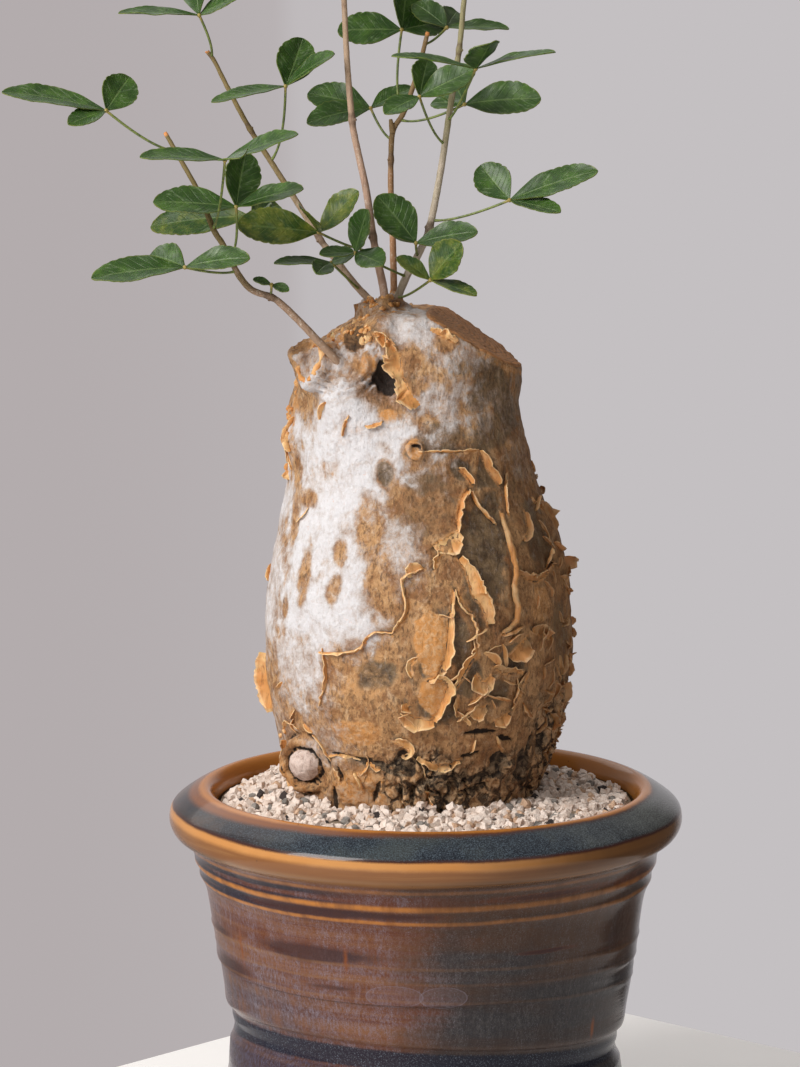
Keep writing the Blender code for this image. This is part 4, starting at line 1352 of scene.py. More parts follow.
    # Dark patches: cracks and dark bark, and painted shade in the hollow under the curl at (-14, 233) and in
    # the nub's hole at (3.9, 214.3).
    dark: tuple = rows_of(Patch, (
        (-7, 126, 1.5, 3.4, 25), (-3, 122.5, 2, 4.4, -18), (-9, 122, 3.6, 0.9, 20), (3, 119.6, 4, 1.3, -22),
        (8, 123.4, 4.4, 0.9, -12), (17, 119.5, 0.9, 3.8, 25), (-5, 117, 2.6, 1.4, 30),
        (-16, 116.5, 0.7, 3.4, 12), (28, 116.5, 2.6, 1.4), (62, 134, 0.9, 7, 12), (55, 130, 0.8, 5, -10),
        (70, 140, 0.9, 7, 8), (49, 126, 0.8, 5, 10), (22, 127, 4, 0.7, -14), (36, 131, 3, 0.7, 18),
        (12, 119.5, 7, 2.6, 0, 0.75), (34, 124, 2.6, 3.2), (47, 121, 3, 6, 12), (25, 133.6, 5, 0.7),
        (31, 121, 6, 1.6, -20), (-22, 125.2, 9, 0.8, 8), (60, 128, 4, 5, 20, 0.8), (-36, 113, 0.8, 4),
        (-33, 120.5, 0.8, 3, -30), (-14, 233, 3.4, 4.6, -30, 0.75), (110, 124, 10, 4, 0, 0.8),
        (170, 122, 12, 3, 0, 0.8), (-130, 122, 10, 3, 0, 0.8), (3.9, 214.3, 1.2, 1)))
    # Painted shade: patches of darker bark, mostly on the right and at the back, away from the light, and in
    # the hollow under the curl.
    shade: tuple = rows_of(Patch, (
        (40, 150, 34, 40, 0, 0.24), (30, 122, 24, 12, 0, 0.34), (70, 180, 20, 40, 0, 0.6),
        (8, 198, 12, 10, 0, 0.7), (130, 150, 40, 60, 0, 0.9), (-13, 232, 8, 7.5),
        (-160, 150, 30, 50, 0, 0.7)))
    peels: tuple = rows_of(Peel, (
        (((23, 207.7), (26, 205.7), (28, 203.1)), Way.RIGHT, 2.6, 150),
        (((36, 212.2), (38, 208.6), (43, 202.2)), Way.RIGHT, 2.8, 110, 20),
        (((5, 212.8), (20, 212.2), (35, 212.6)), Way.UP, 1, 90, 20),
        (((27, 201), (24, 201.2), (21, 198.7), (18, 193.9), (17, 190.1)), Way.RIGHT, 2.8, 170),
        (((17.5, 190.6), (12, 188.8), (6, 186.5)), Way.DOWN, 5, 50, 10),
        (((9, 185.7), (6, 180.2)), Way.LEFT, 1.8, 90, 10),
        (((27, 201), (29, 197), (35, 191.9)), Way.LEFT, 2.4, 170),
        (((49, 205), (45, 199.9), (43, 194.2)), Way.LEFT, 2, 150),
        (((39, 194.5), (39, 186.5), (40, 179), (38, 173.5), (38, 167.7), (36, 164.4), (31, 161.7)),
         Way.LEFT, 3.6, 260),
        (((16, 182.8), (19, 179.2), (21, 172.8), (24, 169.6), (26, 164.5)), Way.RIGHT, 4.8, 110, 10),
        (((14, 174.7), (16, 169.9), (19, 167.9), (21, 163.6), (21, 158.3)), Way.LEFT, 2.2, 150),
        (((1, 180.3), (-5, 177.8), (-5, 173.4), (-4, 169), (-10, 162.3)), Way.LEFT, 2.4, 170),
        (((2, 180.6), (-4, 178.2)), Way.UP, 3.4, 60, 15),
        (((-10, 162.8), (-17, 162.1), (-23, 157), (-33, 155.9), (-39, 155.9)), Way.UP, 2.2, 180),
        (((-38, 157), (-36, 148.2), (-39, 140.4)), Way.LEFT, 2, 170),
        (((11, 168), (10, 161.5), (9, 157.3), (6, 150.8)), Way.RIGHT, 2.8, 80),
        (((13, 174.1), (12, 169.5), (11, 167.3), (7, 167.7)), Way.RIGHT, 1.5, 120),
        (((41, 178.3), (51, 175), (66, 178.8)), Way.UP, 2.4, 70, 20),
        (((59, 178), (66, 181.5)), Way.UP, 4.2, 40, 30),
        (((55, 194), (53, 188.8), (48, 186.7)), Way.RIGHT, 2.2, 90),
        (((70, 195), (76, 191), (82, 187)), Way.RIGHT, 3.6, 30, 20),
        (((34, 154.8), (43, 159.4)), Way.DOWN, 4.4, 50, 15),
        (((46, 161.4), (56, 158.1)), Way.UP, 3.2, 60, 10),
        (((20, 161.1), (21, 156.3), (18, 154.4), (13, 146.9)), Way.LEFT, 3.2, 90),
        (((27, 152.5), (33, 150.2), (40, 150.2)), Way.UP, 2.4, 80),
        (((43, 149.6), (40, 143.8), (38, 139.5)), Way.LEFT, 3, 100),
        (((3, 149.4), (6, 149.9), (10, 147.3), (6, 137.4)), Way.RIGHT, 3.2, 120),
        (((6, 137.4), (-3, 138.9), (-4, 142.8)), Way.DOWN, 4, 60, 12),
        (((-1, 156.2), (-4, 153.4), (-3, 150.3)), Way.LEFT, 1.6, 100),
        (((20, 150.7), (23, 148), (26, 150)), Way.DOWN, 3.6, 60, 12),
        (((14, 144.2), (15, 138.6)), Way.LEFT, 2.2, 90, 10),
        (((19, 139.8), (26, 141)), Way.DOWN, 3.4, 50, 15), (((36, 138), (30, 136.4)), Way.DOWN, 3, 60, 20),
        (((0, 127.2), (9, 124.2), (17, 125.4)), Way.DOWN, 2.4, 40, 10),
        (((-9, 131.4), (-3, 128.8), (-7, 126.6)), Way.RIGHT, 2.4, 50, 10),
        (((-38, 125.5), (-31, 126.5), (-24, 125.2)), Way.DOWN, 1.2, 30, 10),
        (((-20, 124.6), (-15, 122.8)), Way.DOWN, 1.6, 50, 10),
        (((-84, 150.5), (-85, 143), (-84, 134)), Way.LEFT, 4.4, 30, 50),
        (((-88, 140), (-89, 132.5)), Way.LEFT, 3.8, 40, 50),
        (((79, 179.5), (82, 175)), Way.RIGHT, 3.6, 60, 65), (((74, 143), (78, 137)), Way.RIGHT, 3, 30, 55),
        (((-17, 245.5), (-9, 241.5), (-6, 236), (-4, 231.5)), Way.LEFT, 4.6, 50, 28),
        (((-5, 233), (0, 229), (6, 225.5)), Way.DOWN, 4.4, 45, 22),
        (((-21, 245), (-13, 243.5), (-9, 240.5)), Way.UP, 2.6, 60, 50),
        (((-66, 130.5), (-60, 133), (-54, 132)), Way.UP, 1.4, 50, 30),
        (((-67, 127), (-70, 120), (-67, 112.5)), Way.LEFT, 2.6, 50, 45),
        (((-58, 134.5), (-54, 137.5)), Way.RIGHT, 1.2, 90, 10),
        (((-46, 131), (-41, 127.5), (-37, 124)), Way.RIGHT, 1.6, 50, 15),
        (((-36, 122), (-33, 118.5)), Way.RIGHT, 1.8, 50, 15),
        (((-27, 222.5), (-31, 216.5)), Way.LEFT, 2.2, 140, 20),
        (((-12, 220.8), (-20, 219.4)), Way.DOWN, 2, 90, 10),
        (((-38, 226), (-44, 220.8)), Way.LEFT, 2, 120, 10),
        (((-52, 195.4), (-60, 191)), Way.DOWN, 1.6, 60, 10), (((10, 246), (24, 242.5)), Way.UP, 2.6, 40, 40)))
    scatter_seed: int = 23
    scatter: tuple = (  # turn from and to, height from and to, and how many
        (14, 80, 128, 164, 52), (60, 118, 118, 210, 40), (118, 200, 114, 236, 60), (-160, -92, 116, 214, 40),
        (46, 76, 166, 200, 7), (-30, 12, 116, 150, 5), (-92, -72, 200, 222, 12), (-70, -40, 132, 146, 3))

    crumbs: tuple = (  # turn from and to, height from and to, and how many
        (-88, -78, 226, 231, 5), (-92, -72, 213, 222, 16), (-60, -40, 242, 248, 10), (-36, -22, 241, 247, 14),
        (-78, -64, 114, 130, 9))
    top_crumbs: tuple = (  # x, y, spread and how many
        (-0.0170, -0.0080, 0.0035, 34), (-0.0125, -0.0060, 0.0028, 22), (-0.0260, -0.0120, 0.0030, 16),
        (-0.0120, 0.0040, 0.0035, 14))

    def row(self, height: np.ndarray) -> tuple[np.ndarray, np.ndarray]:
        """The caudex's middle x and radius at each height, in metres."""
        table = np.array(self.rows) * MM
        return np.interp(height, table[:, 0], table[:, 1]), np.interp(height, table[:, 0], table[:, 2])

    def round_about(self, points: np.ndarray) -> tuple[np.ndarray, np.ndarray, np.ndarray]:
        """Each point's turn in degrees, its height in mm and the radius there in mm.

        Args:
            points: Rows of x, y and z.

        Returns:
            The turns, heights and radii.
        """
        middle, radius = self.row(points[:, 2])
        turn = np.degrees(np.arctan2(points[:, 0] - middle, CAUDEX_AXIS_Y - points[:, 1]))
        return turn, points[:, 2] / MM, radius / MM

    @staticmethod
    def inside(patch: Patch, turn: np.ndarray, height: np.ndarray, radius: np.ndarray) -> np.ndarray:
        """How deep each point lies in a patch: 1 at its middle, 0 on its edge, less beyond.

        Args:
            patch: The patch.
            turn: Turns in degrees.
            height: Heights in mm.
            radius: Radii in mm.

        Returns:
            One number for each point.
        """
        across = np.radians((turn - patch.turn + 180.0) % 360.0 - 180.0) * radius
        up = height - patch.height
        lean = math.radians(patch.lean)
        u = (across * math.cos(lean) - up * math.sin(lean)) / patch.wide
        v = (across * math.sin(lean) + up * math.cos(lean)) / patch.tall
        return 1.0 - np.hypot(u, v)

    def marks(self, patches: Sequence[Patch], around: tuple, ragged: np.ndarray, soft: float) -> np.ndarray:
        """How strongly the patches mark each point, with ragged edges.

        Args:
            patches: The patches.
            around: Each point's turn, height and radius.
            ragged: Noise that moves the edges.
            soft: How gradual the edge is.

        Returns:
            A number of 0 to 1 for each point.
        """
        found = np.zeros(len(ragged))
        for patch in patches:
            depth = unit((self.inside(patch, *around) + ragged) / soft + 0.5)
            found = np.maximum(found, patch.strength * depth * depth * (3 - 2 * depth))
        return found

    def core(self) -> Object:
        """The plain swollen form, turned, swelled, cut at the top and joined with its stumps.

        Returns:
            The joined form.
        """
        line = flowing([(radius * MM, height * MM, 0.0) for height, _, radius in self.rows[:-1]], 0.0016)
        profile = [(point.x, point.y) for point in line] + [(0.0, self.rows[-1][0] * MM)]
        body = turned("caudex", [(0.0, profile[0][1])] + profile, 160)
        points = points_of(body)
        middle, _ = self.row(points[:, 2])
        turn = np.degrees(np.arctan2(points[:, 0], -points[:, 1]))
        reach = np.hypot(points[:, 0], points[:, 1])
        swell = np.zeros(len(points))
        for bump in self.swellings:
            away = 1.0 - self.inside(bump, turn, points[:, 2] / MM, reach / MM)
            swell += bump.strength * MM * np.exp(-away * away)
        swell *= unit(reach / 0.012)
        out = (reach + swell) / np.maximum(reach, 1e-6)
        points[:, 0], points[:, 1] = points[:, 0] * out + middle, points[:, 1] * out + CAUDEX_AXIS_Y
        start, top = self.shoulder_start
        limit = top + self.shoulder_slope * np.minimum(0.0, points[:, 0] - start)
        points[:, 2] = np.where(points[:, 2] > limit, limit + 0.12 * (points[:, 2] - limit), points[:, 2])
        set_points(body, points)
        edit(body)
        bpy.ops.mesh.bisect(plane_co=self.cut_point, plane_no=Vector(self.cut_normal).normalized(),
                            use_fill=True, clear_outer=True)
        close_edit()
        return join([body] + [self.stump(spec) for spec in self.stumps] + self.scar(body) + self.collars(),
                    "caudex")

    @staticmethod
    def collars() -> list[Object]:
        """Lumps of old wood at the feet of the stems.

        Returns:
            The lumps.
        """
        lumps = []
        for stem in STEMS:
            foot, ahead = (Vector(point) * MM for point in stem.route[:2])
            size = 0.6 if stem.name == "stem_a" else 1.0
            for share, radius in ((0.45, 0.0030 * size), (0.95, 0.0022 * size)):
                deselect()
                bpy.ops.mesh.primitive_ico_sphere_add(subdivisions=3, radius=radius,
                                                      location=foot.lerp(ahead, share))
                lumps.append(apply_place(bpy.context.object))
        return lumps

    def twig(self) -> Object:
        """The small dead twig behind the left stump."""
        line = [Vector(point) for point in self.twig_line]
        return tube("twig", flowing(line, 0.0006), [0.0014] * 3 + [0.0011] * 40, 12)

    @staticmethod
    def stump(spec: Stump) -> Object:
        """A short limb, cut off, with its heartwood sunk in a little.

        Args:
            spec: The stump's sizes.

        Returns:
            The limb.
        """
        deselect()
        start, end = Vector(spec.start), Vector(spec.end)
        bpy.ops.mesh.primitive_cone_add(
            vertices=40, radius1=spec.root_radius, radius2=spec.end_radius, depth=(end - start).length,
            location=(start + end) / 2, rotation=(end - start).to_track_quat("Z", "Y").to_euler())
        limb = apply_place(bpy.context.object)
        bpy.ops.object.mode_set(mode="EDIT")
        form = bmesh.from_edit_mesh(limb.data)
        along = (end - start).normalized()
        for face in form.faces:
            face.select = face.normal.dot(along) > 0.95
        bmesh.update_edit_mesh(limb.data)
        bpy.ops.mesh.inset(thickness=spec.end_radius * 0.30, depth=0.0)
        bpy.ops.transform.translate(value=tuple(along * -spec.hollow))
        close_edit()
        return limb

    def scar(self, body: Object) -> list[Object]:
        """The healed ring near the soil, the knob that it holds, and the small ring higher up.

        Args:
            body: The turned form.

        Returns:
            The ring, the knob and the nub.
        """
        skin = BVHTree.FromObject(body, bpy.context.evaluated_depsgraph_get())
        middle, out = self.on_skin(skin, self.scar_turn, self.scar_height)
        face = (out + Vector((0.1, -0.75, 0.0))).normalized()
        middle += out * 0.0006
        self.scar_place, self.scar_face = np.array(middle), np.array(face)
        pieces = []
        for radius, shift, scale in ((self.scar_radius * MM * 1.12, -0.0032, (1.0, 0.6, 1.0)),
                                     (0.0051, -0.0006, (1.0, 0.9, 0.88))):
            deselect()
            bpy.ops.mesh.primitive_ico_sphere_add(subdivisions=4, radius=radius,
                                                  location=middle + face * shift)
            ball = apply_place(bpy.context.object)
            points = points_of(ball) - np.array(middle)
            deep = (points @ self.scar_face)[:, None] * self.scar_face
            level = points - deep
            stretch = np.array([scale[0], scale[0], scale[2]])
            set_points(ball, np.array(middle) + deep * scale[1] + level * stretch)
            pieces.append(ball)
        deselect()
        bpy.ops.mesh.primitive_torus_add(location=middle, rotation=face.to_track_quat("Z", "Y").to_euler(),
                                         major_radius=self.scar_radius * MM, minor_radius=0.0016,
                                         major_segments=48, minor_segments=14)
        pieces.append(apply_place(bpy.context.object))
        place, out = self.on_skin(skin, *self.nub)
        deselect()
        bpy.ops.mesh.primitive_torus_add(location=place, rotation=out.to_track_quat("Z", "Y").to_euler(),
                                         major_radius=0.0019, minor_radius=0.0010, major_segments=28,
                                         minor_segments=10)
        return pieces + [apply_place(bpy.context.object)]

    def on_skin(self, skin: BVHTree, turn: float, height: float) -> tuple[Vector, Vector]:
        """The place on the skin at a turn and a height in mm, and the direction straight out there.

        Args:
            skin: The skin to cast on.
            turn: The turn in degrees.
            height: The height in mm.

        Returns:
            The place and the direction.
        """
        middle, _ = self.row(np.array([height * MM]))
        angle = math.radians(turn)
        out = Vector((math.sin(angle), -math.cos(angle), 0.0))
        axis = Vector((float(middle[0]), CAUDEX_AXIS_Y, height * MM))
        place, normal, _, _ = skin.ray_cast(axis + out * 0.09, -out)
        if place is None:
            return axis + out * 0.03, out
        return place, (normal + out * 0.6).normalized()

    def build(self) -> list[Object]:
        """Model the skin in one closed piece, mark it, carve it and hang the peeling bark on it.

        Returns:
            The skin and the peeling bark.
        """
        body = self.core()
        body.data.remesh_voxel_size = self.voxel
        only(body)
        bpy.ops.object.voxel_remesh()
        apply_modifier(body, "SMOOTH", factor=0.5, iterations=4)
        self.seat(body)
        self.carve(body)
        body = join([body, self.twig()], "caudex_skin")
        smooth(body, 80.0)
        dress(body, PeelingBark().material())
        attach(body, "root")
        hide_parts("caudex")
        return [body, self.peeling(body)]

    def seat(self, body: Object) -> None:
        """Swap the buried end's dense skin for a plain plug that stands in the soil.

        Args:
            body: The caudex's skin.
        """
        edit(body)
        bpy.ops.mesh.bisect(plane_co=(0, 0, self.seat_height), plane_no=(0, 0, 1), clear_inner=True)
        height, radius = self.seat_height, float(self.row(np.array([self.seat_height]))[1][0])
        for level, wide in self.buried:
            bpy.ops.mesh.extrude_region_move(TRANSFORM_OT_translate={"value": (0, 0, level - height)})
            scale = wide / radius
            bpy.ops.transform.resize(value=(scale, scale, 1.0),
                                     center_override=(-0.004, CAUDEX_AXIS_Y, level))
            height, radius = level, wide
        bpy.ops.mesh.edge_face_add()
        close_edit()

    def carve(self, body: Object) -> None:
        """Mark the skin for its material and carve its layers, cracks and wrinkles.

        Args:
            body: The caudex's skin.
        """
        points = points_of(body)
        around = self.round_about(points)
        turn, height, _ = around
        broad = rough_field(points, 120.0, 3.0)
        fine = rough_field(points, 420.0, 7.0)
        streak = rough_field(points * np.array([1.0, 1.0, 0.22]), 520.0, 11.0)
        ragged = 0.24 * broad + 0.12 * fine
        bare = self.marks(self.bare, around, ragged * 1.1, 0.62)
        powder = self.marks(self.powder, around, ragged * 2.0, 1.25) * (1.0 - 0.66 * bare)
        olive = self.marks(self.olive, around, ragged * 1.5, 0.8)
        dark = self.marks(self.dark, around, ragged * 1.8, 0.5)
        lichen = self.marks(self.lichen, around, ragged * 2.0, 1.0)
        amber = self.marks(self.amber, around, ragged * 1.2, 0.6)
        # How strongly each point takes the painted shade.
        shade = self.marks(self.shade, around, ragged, 1.1)
        normal = Vector(self.cut_normal).normalized()
        above = (points - np.array(self.cut_point)) @ np.array(normal)
        cut = unit((above + 0.0007) / 0.0005)
        wall, free, distance = self.beside_peels(body, points)
        amber = np.maximum(amber, wall * unit(1.15 - distance / 1.7) * (0.75 - powder * 0.3))
        olive = np.maximum(olive, free * unit(1.0 - distance / 4.2) * 0.75 * (turn > -30))
        amber *= 1.0 - free * unit(1.0 - distance / 1.2)
        off = points - self.scar_place
        deep = off @ self.scar_face
        in_scar = np.linalg.norm(off - deep[:, None] * self.scar_face, axis=1) / (self.scar_radius * MM)
        in_scar += 0.05 * broad + 9.0 * (np.abs(deep) > 0.012)
        knob = unit((0.70 - in_scar) / 0.05) * (points[:, 2] < 0.13)
        # Dark in the gap round the knob and along the cracks of the ring: dark bark and painted shade in
        # these crevices.
        gap = np.exp(-(((in_scar - 0.78) / 0.07) ** 4))
        gap += np.exp(-(((in_scar - 1.34) / 0.10) ** 2)) * (0.8 + broad)
        gap = np.maximum(gap, np.exp(-(((in_scar - 1.02 - 0.1 * broad) / 0.05) ** 2)) * (0.45 + fine))
        dark = np.maximum(dark, unit(gap) * np.where(in_scar < 0.9, 1.0, 0.85) * (height < 140))
        crust = unit((127.0 + 6.0 * broad - height) / 5.0) * np.clip((turn + 20.0) / 14.0, 0.12, 1)
        crust *= 1.0 - 0.35 * unit((turn - 18.0) / 10.0) * (turn < 60)
        shade *= 1.0 - 0.7 * unit((130.0 - height) / 6.0) * (turn < 4)
        right = unit((turn - 40.0) / 22.0) * unit((152.0 - height) / 20.0) * 0.8
        behind = unit((np.abs(turn) - 90) / 20) * unit((142.0 - height) / 22.0) * 0.5
        crust = unit(np.maximum(crust, np.maximum(right, behind))) * unit((in_scar - 1.2) / 0.3)
        cracks = self.cracks(points, broad) * crust
        furrows = unit(-5.0 * streak - 0.15) * unit(1.4 - np.abs(turn - 11.0) / 12.0)
        furrows *= unit((125.0 + 3.0 * broad - height) / 3.0)
        dark = np.maximum(np.maximum(dark * 1.15, cracks), furrows * 0.9)
        powder *= (1.0 - cut * 0.7) * (1.0 - crust * 0.85)
        ridged = 1.0 - np.abs(rough_field(points * np.array([1.0, 1.0, 0.45]), 330.0, 17.0)) * 2.4
        lump = rough_field(points, 60.0, 5.0)
        relief = 0.0006 * lump + 0.00020 * broad + 0.00014 * fine + 0.00010 * streak
        relief -= 0.00050 * olive + 0.0011 * dark * (1.0 - knob) * (1.0 - 0.4 * crust)
        lips = np.exp(-(((in_scar - 1.02) / 0.22) ** 2)) * (height < 140)
        relief += lips * (0.0009 * broad + 0.0007 * fine + 0.0004 * streak)
        amber = np.maximum(amber, lips * unit(0.55 + 0.5 * broad) * (turn < self.scar_turn + 2))
        relief += 0.00025 * unit(amber)
        relief += crust * (0.0004 + 0.00070 * ridged + 0.00040 * fine - 0.0017 * cracks)
        relief += 0.00022 * streak * unit(1.0 - powder)
        wrinkled = unit((height - 226.0) / 5.0) * unit((-turn - 4.0) / 10.0)
        relief += wrinkled * (0.00040 * ridged + 0.00035 * broad)
        knot = unit(1.0 - np.hypot(points[:, 0] + 0.0125, points[:, 1] + 0.002) / 0.013) * (height > 240)
        relief += knot * (0.0010 * fine + 0.0010 * broad)
        powder = np.maximum(powder, np.clip(knot * 1.4, 0, 0.85) * (0.55 + 0.45 * fine))
        rim = np.exp(-(((above + 0.0016) / 0.0011) ** 2))
        amber = np.maximum(amber, rim * (0.7 + 0.4 * broad))
        folds, groove = self.neck_folds(points, broad)
        relief += folds * 0.00050
        # Painted shade: the grooves between the folds are darkened.
        dark = np.maximum(dark, groove * 0.55)
        near_folds = unit(np.abs(folds) * 2.0)
        powder = np.maximum(powder * (1.0 - 0.35 * near_folds), 0.8 * near_folds * (0.75 + broad))
        ends = self.stump_ends(points)
        relief += ends * 0.0006 * fine
        # Painted shade: the sunk ends of the stumps are darkened as hollows.
        dark = np.maximum(dark, unit(ends) * (0.60 + 0.30 * broad))
        powder = np.maximum(powder * (1.0 - ends * 0.85), np.clip(0.31 - np.abs(ends - 0.3), 0, 0.3) * 2.2)
        relief = np.where(cut > 0.5, 0.00030 * streak + 0.00040 * broad + 0.00015 * fine, relief)
        relief *= unit((points[:, 2] - 0.1045) / 0.003)
        # Painted shadow: a dark line along the bared side of each strip's root, where the strip shades the
        # skin.
        dark = np.maximum(dark, free * np.exp(-((distance / 0.6) ** 2))
                          * np.clip((turn + 34) / 20, 0.2, 0.85))
        push_out(body, points, relief)
        marks = {"powder": powder, "olive": olive, "dark": dark, "lichen": lichen, "amber": amber,
                 "shade": shade, "cut": cut, "knob": knob, "crust": crust}
        for name, values in marks.items():
            paint_points(body, name, values)

    @staticmethod
    def cracks(points: np.ndarray, broad: np.ndarray) -> np.ndarray:
        """How deep each point lies in the net of cracks: 1 in a crack, 0 on a plate of bark.

        Args:
            points: Rows of x, y and z.
            broad: Slow noise for each point.

        Returns:
            One number for each point.
        """
        found = np.empty(len(points))
        for index, (point, shift) in enumerate(zip(points, broad)):
            place = Vector((point[0], point[1], point[2] * 0.7)) * 125.0
            place += noise.noise_vector(place * 1.7) * 0.55
            distances = noise.voronoi(place)[0]
            found[index] = distances[1] - distances[0] + 0.10 * shift
        return unit((0.10 - found) / 0.08)

    def neck_folds(self, points: np.ndarray, broad: np.ndarray) -> tuple[np.ndarray, np.ndarray]:
        """The folds of bark that ring the foot of the lowest stem: their height and their grooves.

        Args:
            points: Rows of x, y and z.
            broad: Slow noise for each point.

        Returns:
            The heights of the folds and the depths of the grooves.
        """
        middle = np.array(self.fold_middle)
        away = np.linalg.norm((points - middle) * np.array([0.85, 1.0, 1.1]), axis=1) / MM
        share = unit((away - 2.0) / 1.5) * unit((13.5 - away) / 3.5)
        share *= points[:, 1] < 0.004
        wave = np.sin(2 * math.pi * away / 2.3 + 3.0 * broad)
        return wave * share, unit(-wave - 0.35) * share * 1.4

    def stump_ends(self, points: np.ndarray) -> np.ndarray:
        """1 on the cut ends of the first three stumps, 0 elsewhere.

        Args:
            points: Rows of x, y and z.

        Returns:
            One number for each point.
        """
        found = np.zeros(len(points))
        for stump, share in zip(self.stumps[:3], (0.3, 0.6, 1.0)):
            start, end = np.array(stump.start), np.array(stump.end)
            along = (end - start) / np.linalg.norm(end - start)
            depth = (points - end) @ along
            away = np.linalg.norm(points - end - depth[:, None] * along, axis=1)
            here = unit((depth + 0.0022) / 0.0006)
            here *= unit((stump.end_radius * 0.86 - away) / 0.0005)
            found = np.maximum(found, here * share)
        return found

    def beside_peels(self, body: Object, points: np.ndarray) -> tuple:
        """Which side of the nearest peeling strip each point lies on, and how far off in mm.

        Args:
            body: The caudex's skin.
            points: Rows of x, y and z.

        Returns:
            1 on the sheet's side, 1 on the bared side, and the distance.
        """
        skin = BVHTree.FromObject(body, bpy.context.evaluated_depsgraph_get())
        spots, ways = [], []
        for peel in self.peels:
            for place, _, side in self.root_line(skin, peel):
                spots.append(place)
                ways.append(side)
        spots, ways = np.array(spots), np.array(ways)
        best = np.full(len(points), 1e9)
        signed = np.zeros(len(points))
        for start in range(0, len(spots), 64):
            block = points[:, None, :] - spots[None, start:start + 64, :]
            away = np.einsum("ijk,ijk->ij", block, block)
            index = away.argmin(axis=1)
            rows = np.arange(len(points))
            nearer = away[rows, index] < best
            side = np.einsum("ij,ij->i", block[rows, index], ways[start:start + 64][index])
            signed = np.where(nearer, side, signed)
            best = np.where(nearer, away[rows, index], best)
        distance = np.sqrt(best) / MM
        return (signed <= 0).astype(float), (signed > 0).astype(float), distance

    def root_line(self, skin: BVHTree, peel: Peel, step: float = 0.9) -> list[tuple[Vector, Vector, Vector]]:
        """Places along a strip's root, with the way out of the skin and the way the strip peels.

        Args:
            skin: The skin to cast on.
            peel: The strip.
            step: The distance between the places in mm.

        Returns:
            For each place: where it is, the way out and the way of the strip.
        """
        line = [(turn * MM_A_DEGREE, height, 0.0) for turn, height in peel.line]
        smooth_line = flowing(line, step)
        spots = [self.on_skin(skin, point.x / MM_A_DEGREE, point.y) for point in smooth_line]
        found = []
        for index, (place, out) in enumerate(spots):
            ahead = spots[min(index + 1, len(spots) - 1)][0] - spots[max(index - 1, 0)][0]
            side = ahead.cross(out).normalized()
            round_way = Vector((-out.y, out.x, 0.0))
            wanted = round_way * peel.way.value[0] + Vector((0, 0, peel.way.value[1]))
            found.append((place, out, side if side.dot(wanted) > 0 else -side))
        return found

    def strip(self, skin: BVHTree, peel: Peel, index: int) -> Object:
        """One strip of bark, rooted in the skin, lifting and curling off it with a ragged edge.

        Args:
            skin: The skin to cast on.
            peel: The strip.
            index: Its number, which shifts its noise.

        Returns:
            The strip.
        """
        roots = self.root_line(skin, peel)
        last = len(roots) - 1
        curl, lift = math.radians(peel.curl), math.radians(peel.lift)
        across = max(4, round(peel.curl / 28.0))

        def shape(u: float, v: float) -> Vector:
            """The point at a share across and along the strip.

            Args:
                u: The share across.
                v: The share along.

            Returns:
                The point.
            """
            place, out, side = roots[round(v * last)]
            shift = Vector((index * 3.1, v * last * 0.35, 0.0))
            ragged = 1.0 + 0.34 * noise.noise(shift * 0.7) + 0.14 * noise.noise(shift * 3.3)
            width = 1.12 * peel.width * MM * max(0.12, math.sin(math.pi * (0.06 + 0.88 * v))) ** 0.45 * ragged
            bend = curl * (1.0 + 0.30 * noise.noise(shift * 1.7 + Vector((9, 0, 0))))
            steps = 12
            along = up = 0.0
            for part in range(steps):
                angle = lift + bend * u * (part + 0.5) / steps
                along += math.cos(angle) * u * width / steps
                up += math.sin(angle) * u * width / steps
            return place + side * (along - 0.0004) + out * (up - 0.00025 + 0.0002 * u)

        return sheet(f"strip_{index}", across, last, shape, 0.00022)

    def crumb_lumps(self, skin: BVHTree, draw: random.Random) -> list[Object]:
        """Small amber crumbs of bark and resin that sit on the skin.

        Args:
            skin: The skin to cast on.
            draw: The random numbers.

        Returns:
            The crumbs.
        """
        spots = []
        for turn_from, turn_to, low, high, count in self.crumbs:
            for _ in range(count):
                spots.append(self.on_skin(skin, draw.uniform(turn_from, turn_to), draw.uniform(low, high))[0])
        for x, y, spread, count in self.top_crumbs:
            for _ in range(count):
                start = Vector((x + draw.gauss(0, spread), y + draw.gauss(0, spread), 0.30))
                hit = skin.ray_cast(start, Vector((0, 0, -1)))[0]
                if hit is not None and hit.z > 0.236:
                    spots.append(hit)
        limb = self.stumps[0]
        start, end = Vector(limb.start), Vector(limb.end)
        deselect()
        bpy.ops.mesh.primitive_torus_add(
            location=end, rotation=(end - start).to_track_quat("Z", "Y").to_euler(),
            major_radius=limb.end_radius * 0.80, minor_radius=0.0008, major_segments=48, minor_segments=10)
        curl = apply_place(bpy.context.object)
        points = points_of(curl)
        shifts = np.array([noise.noise_vector(Vector(point) * 260.0) for point in points])
        set_points(curl, points + shifts * 0.0014)
        lumps = [curl]
        for spot in spots:
            deselect()
            size = draw.uniform(0.00045, 0.00105)
            bpy.ops.mesh.primitive_ico_sphere_add(
                subdivisions=2, radius=size, location=spot,
                scale=(1.0, draw.uniform(0.6, 1.3), draw.uniform(0.6, 1.4)),
                rotation=(draw.uniform(0, 3), draw.uniform(0, 3), 0.0))
            lump = apply_place(bpy.context.object)
            points = points_of(lump)
            middle = np.array(spot)
            bumps = np.array([noise.noise(Vector(point) * 1300.0) for point in points])
            set_points(lump, middle + (points - middle) * (1.0 + 0.5 * bumps)[:, None])
            lumps.append(lump)
        return lumps

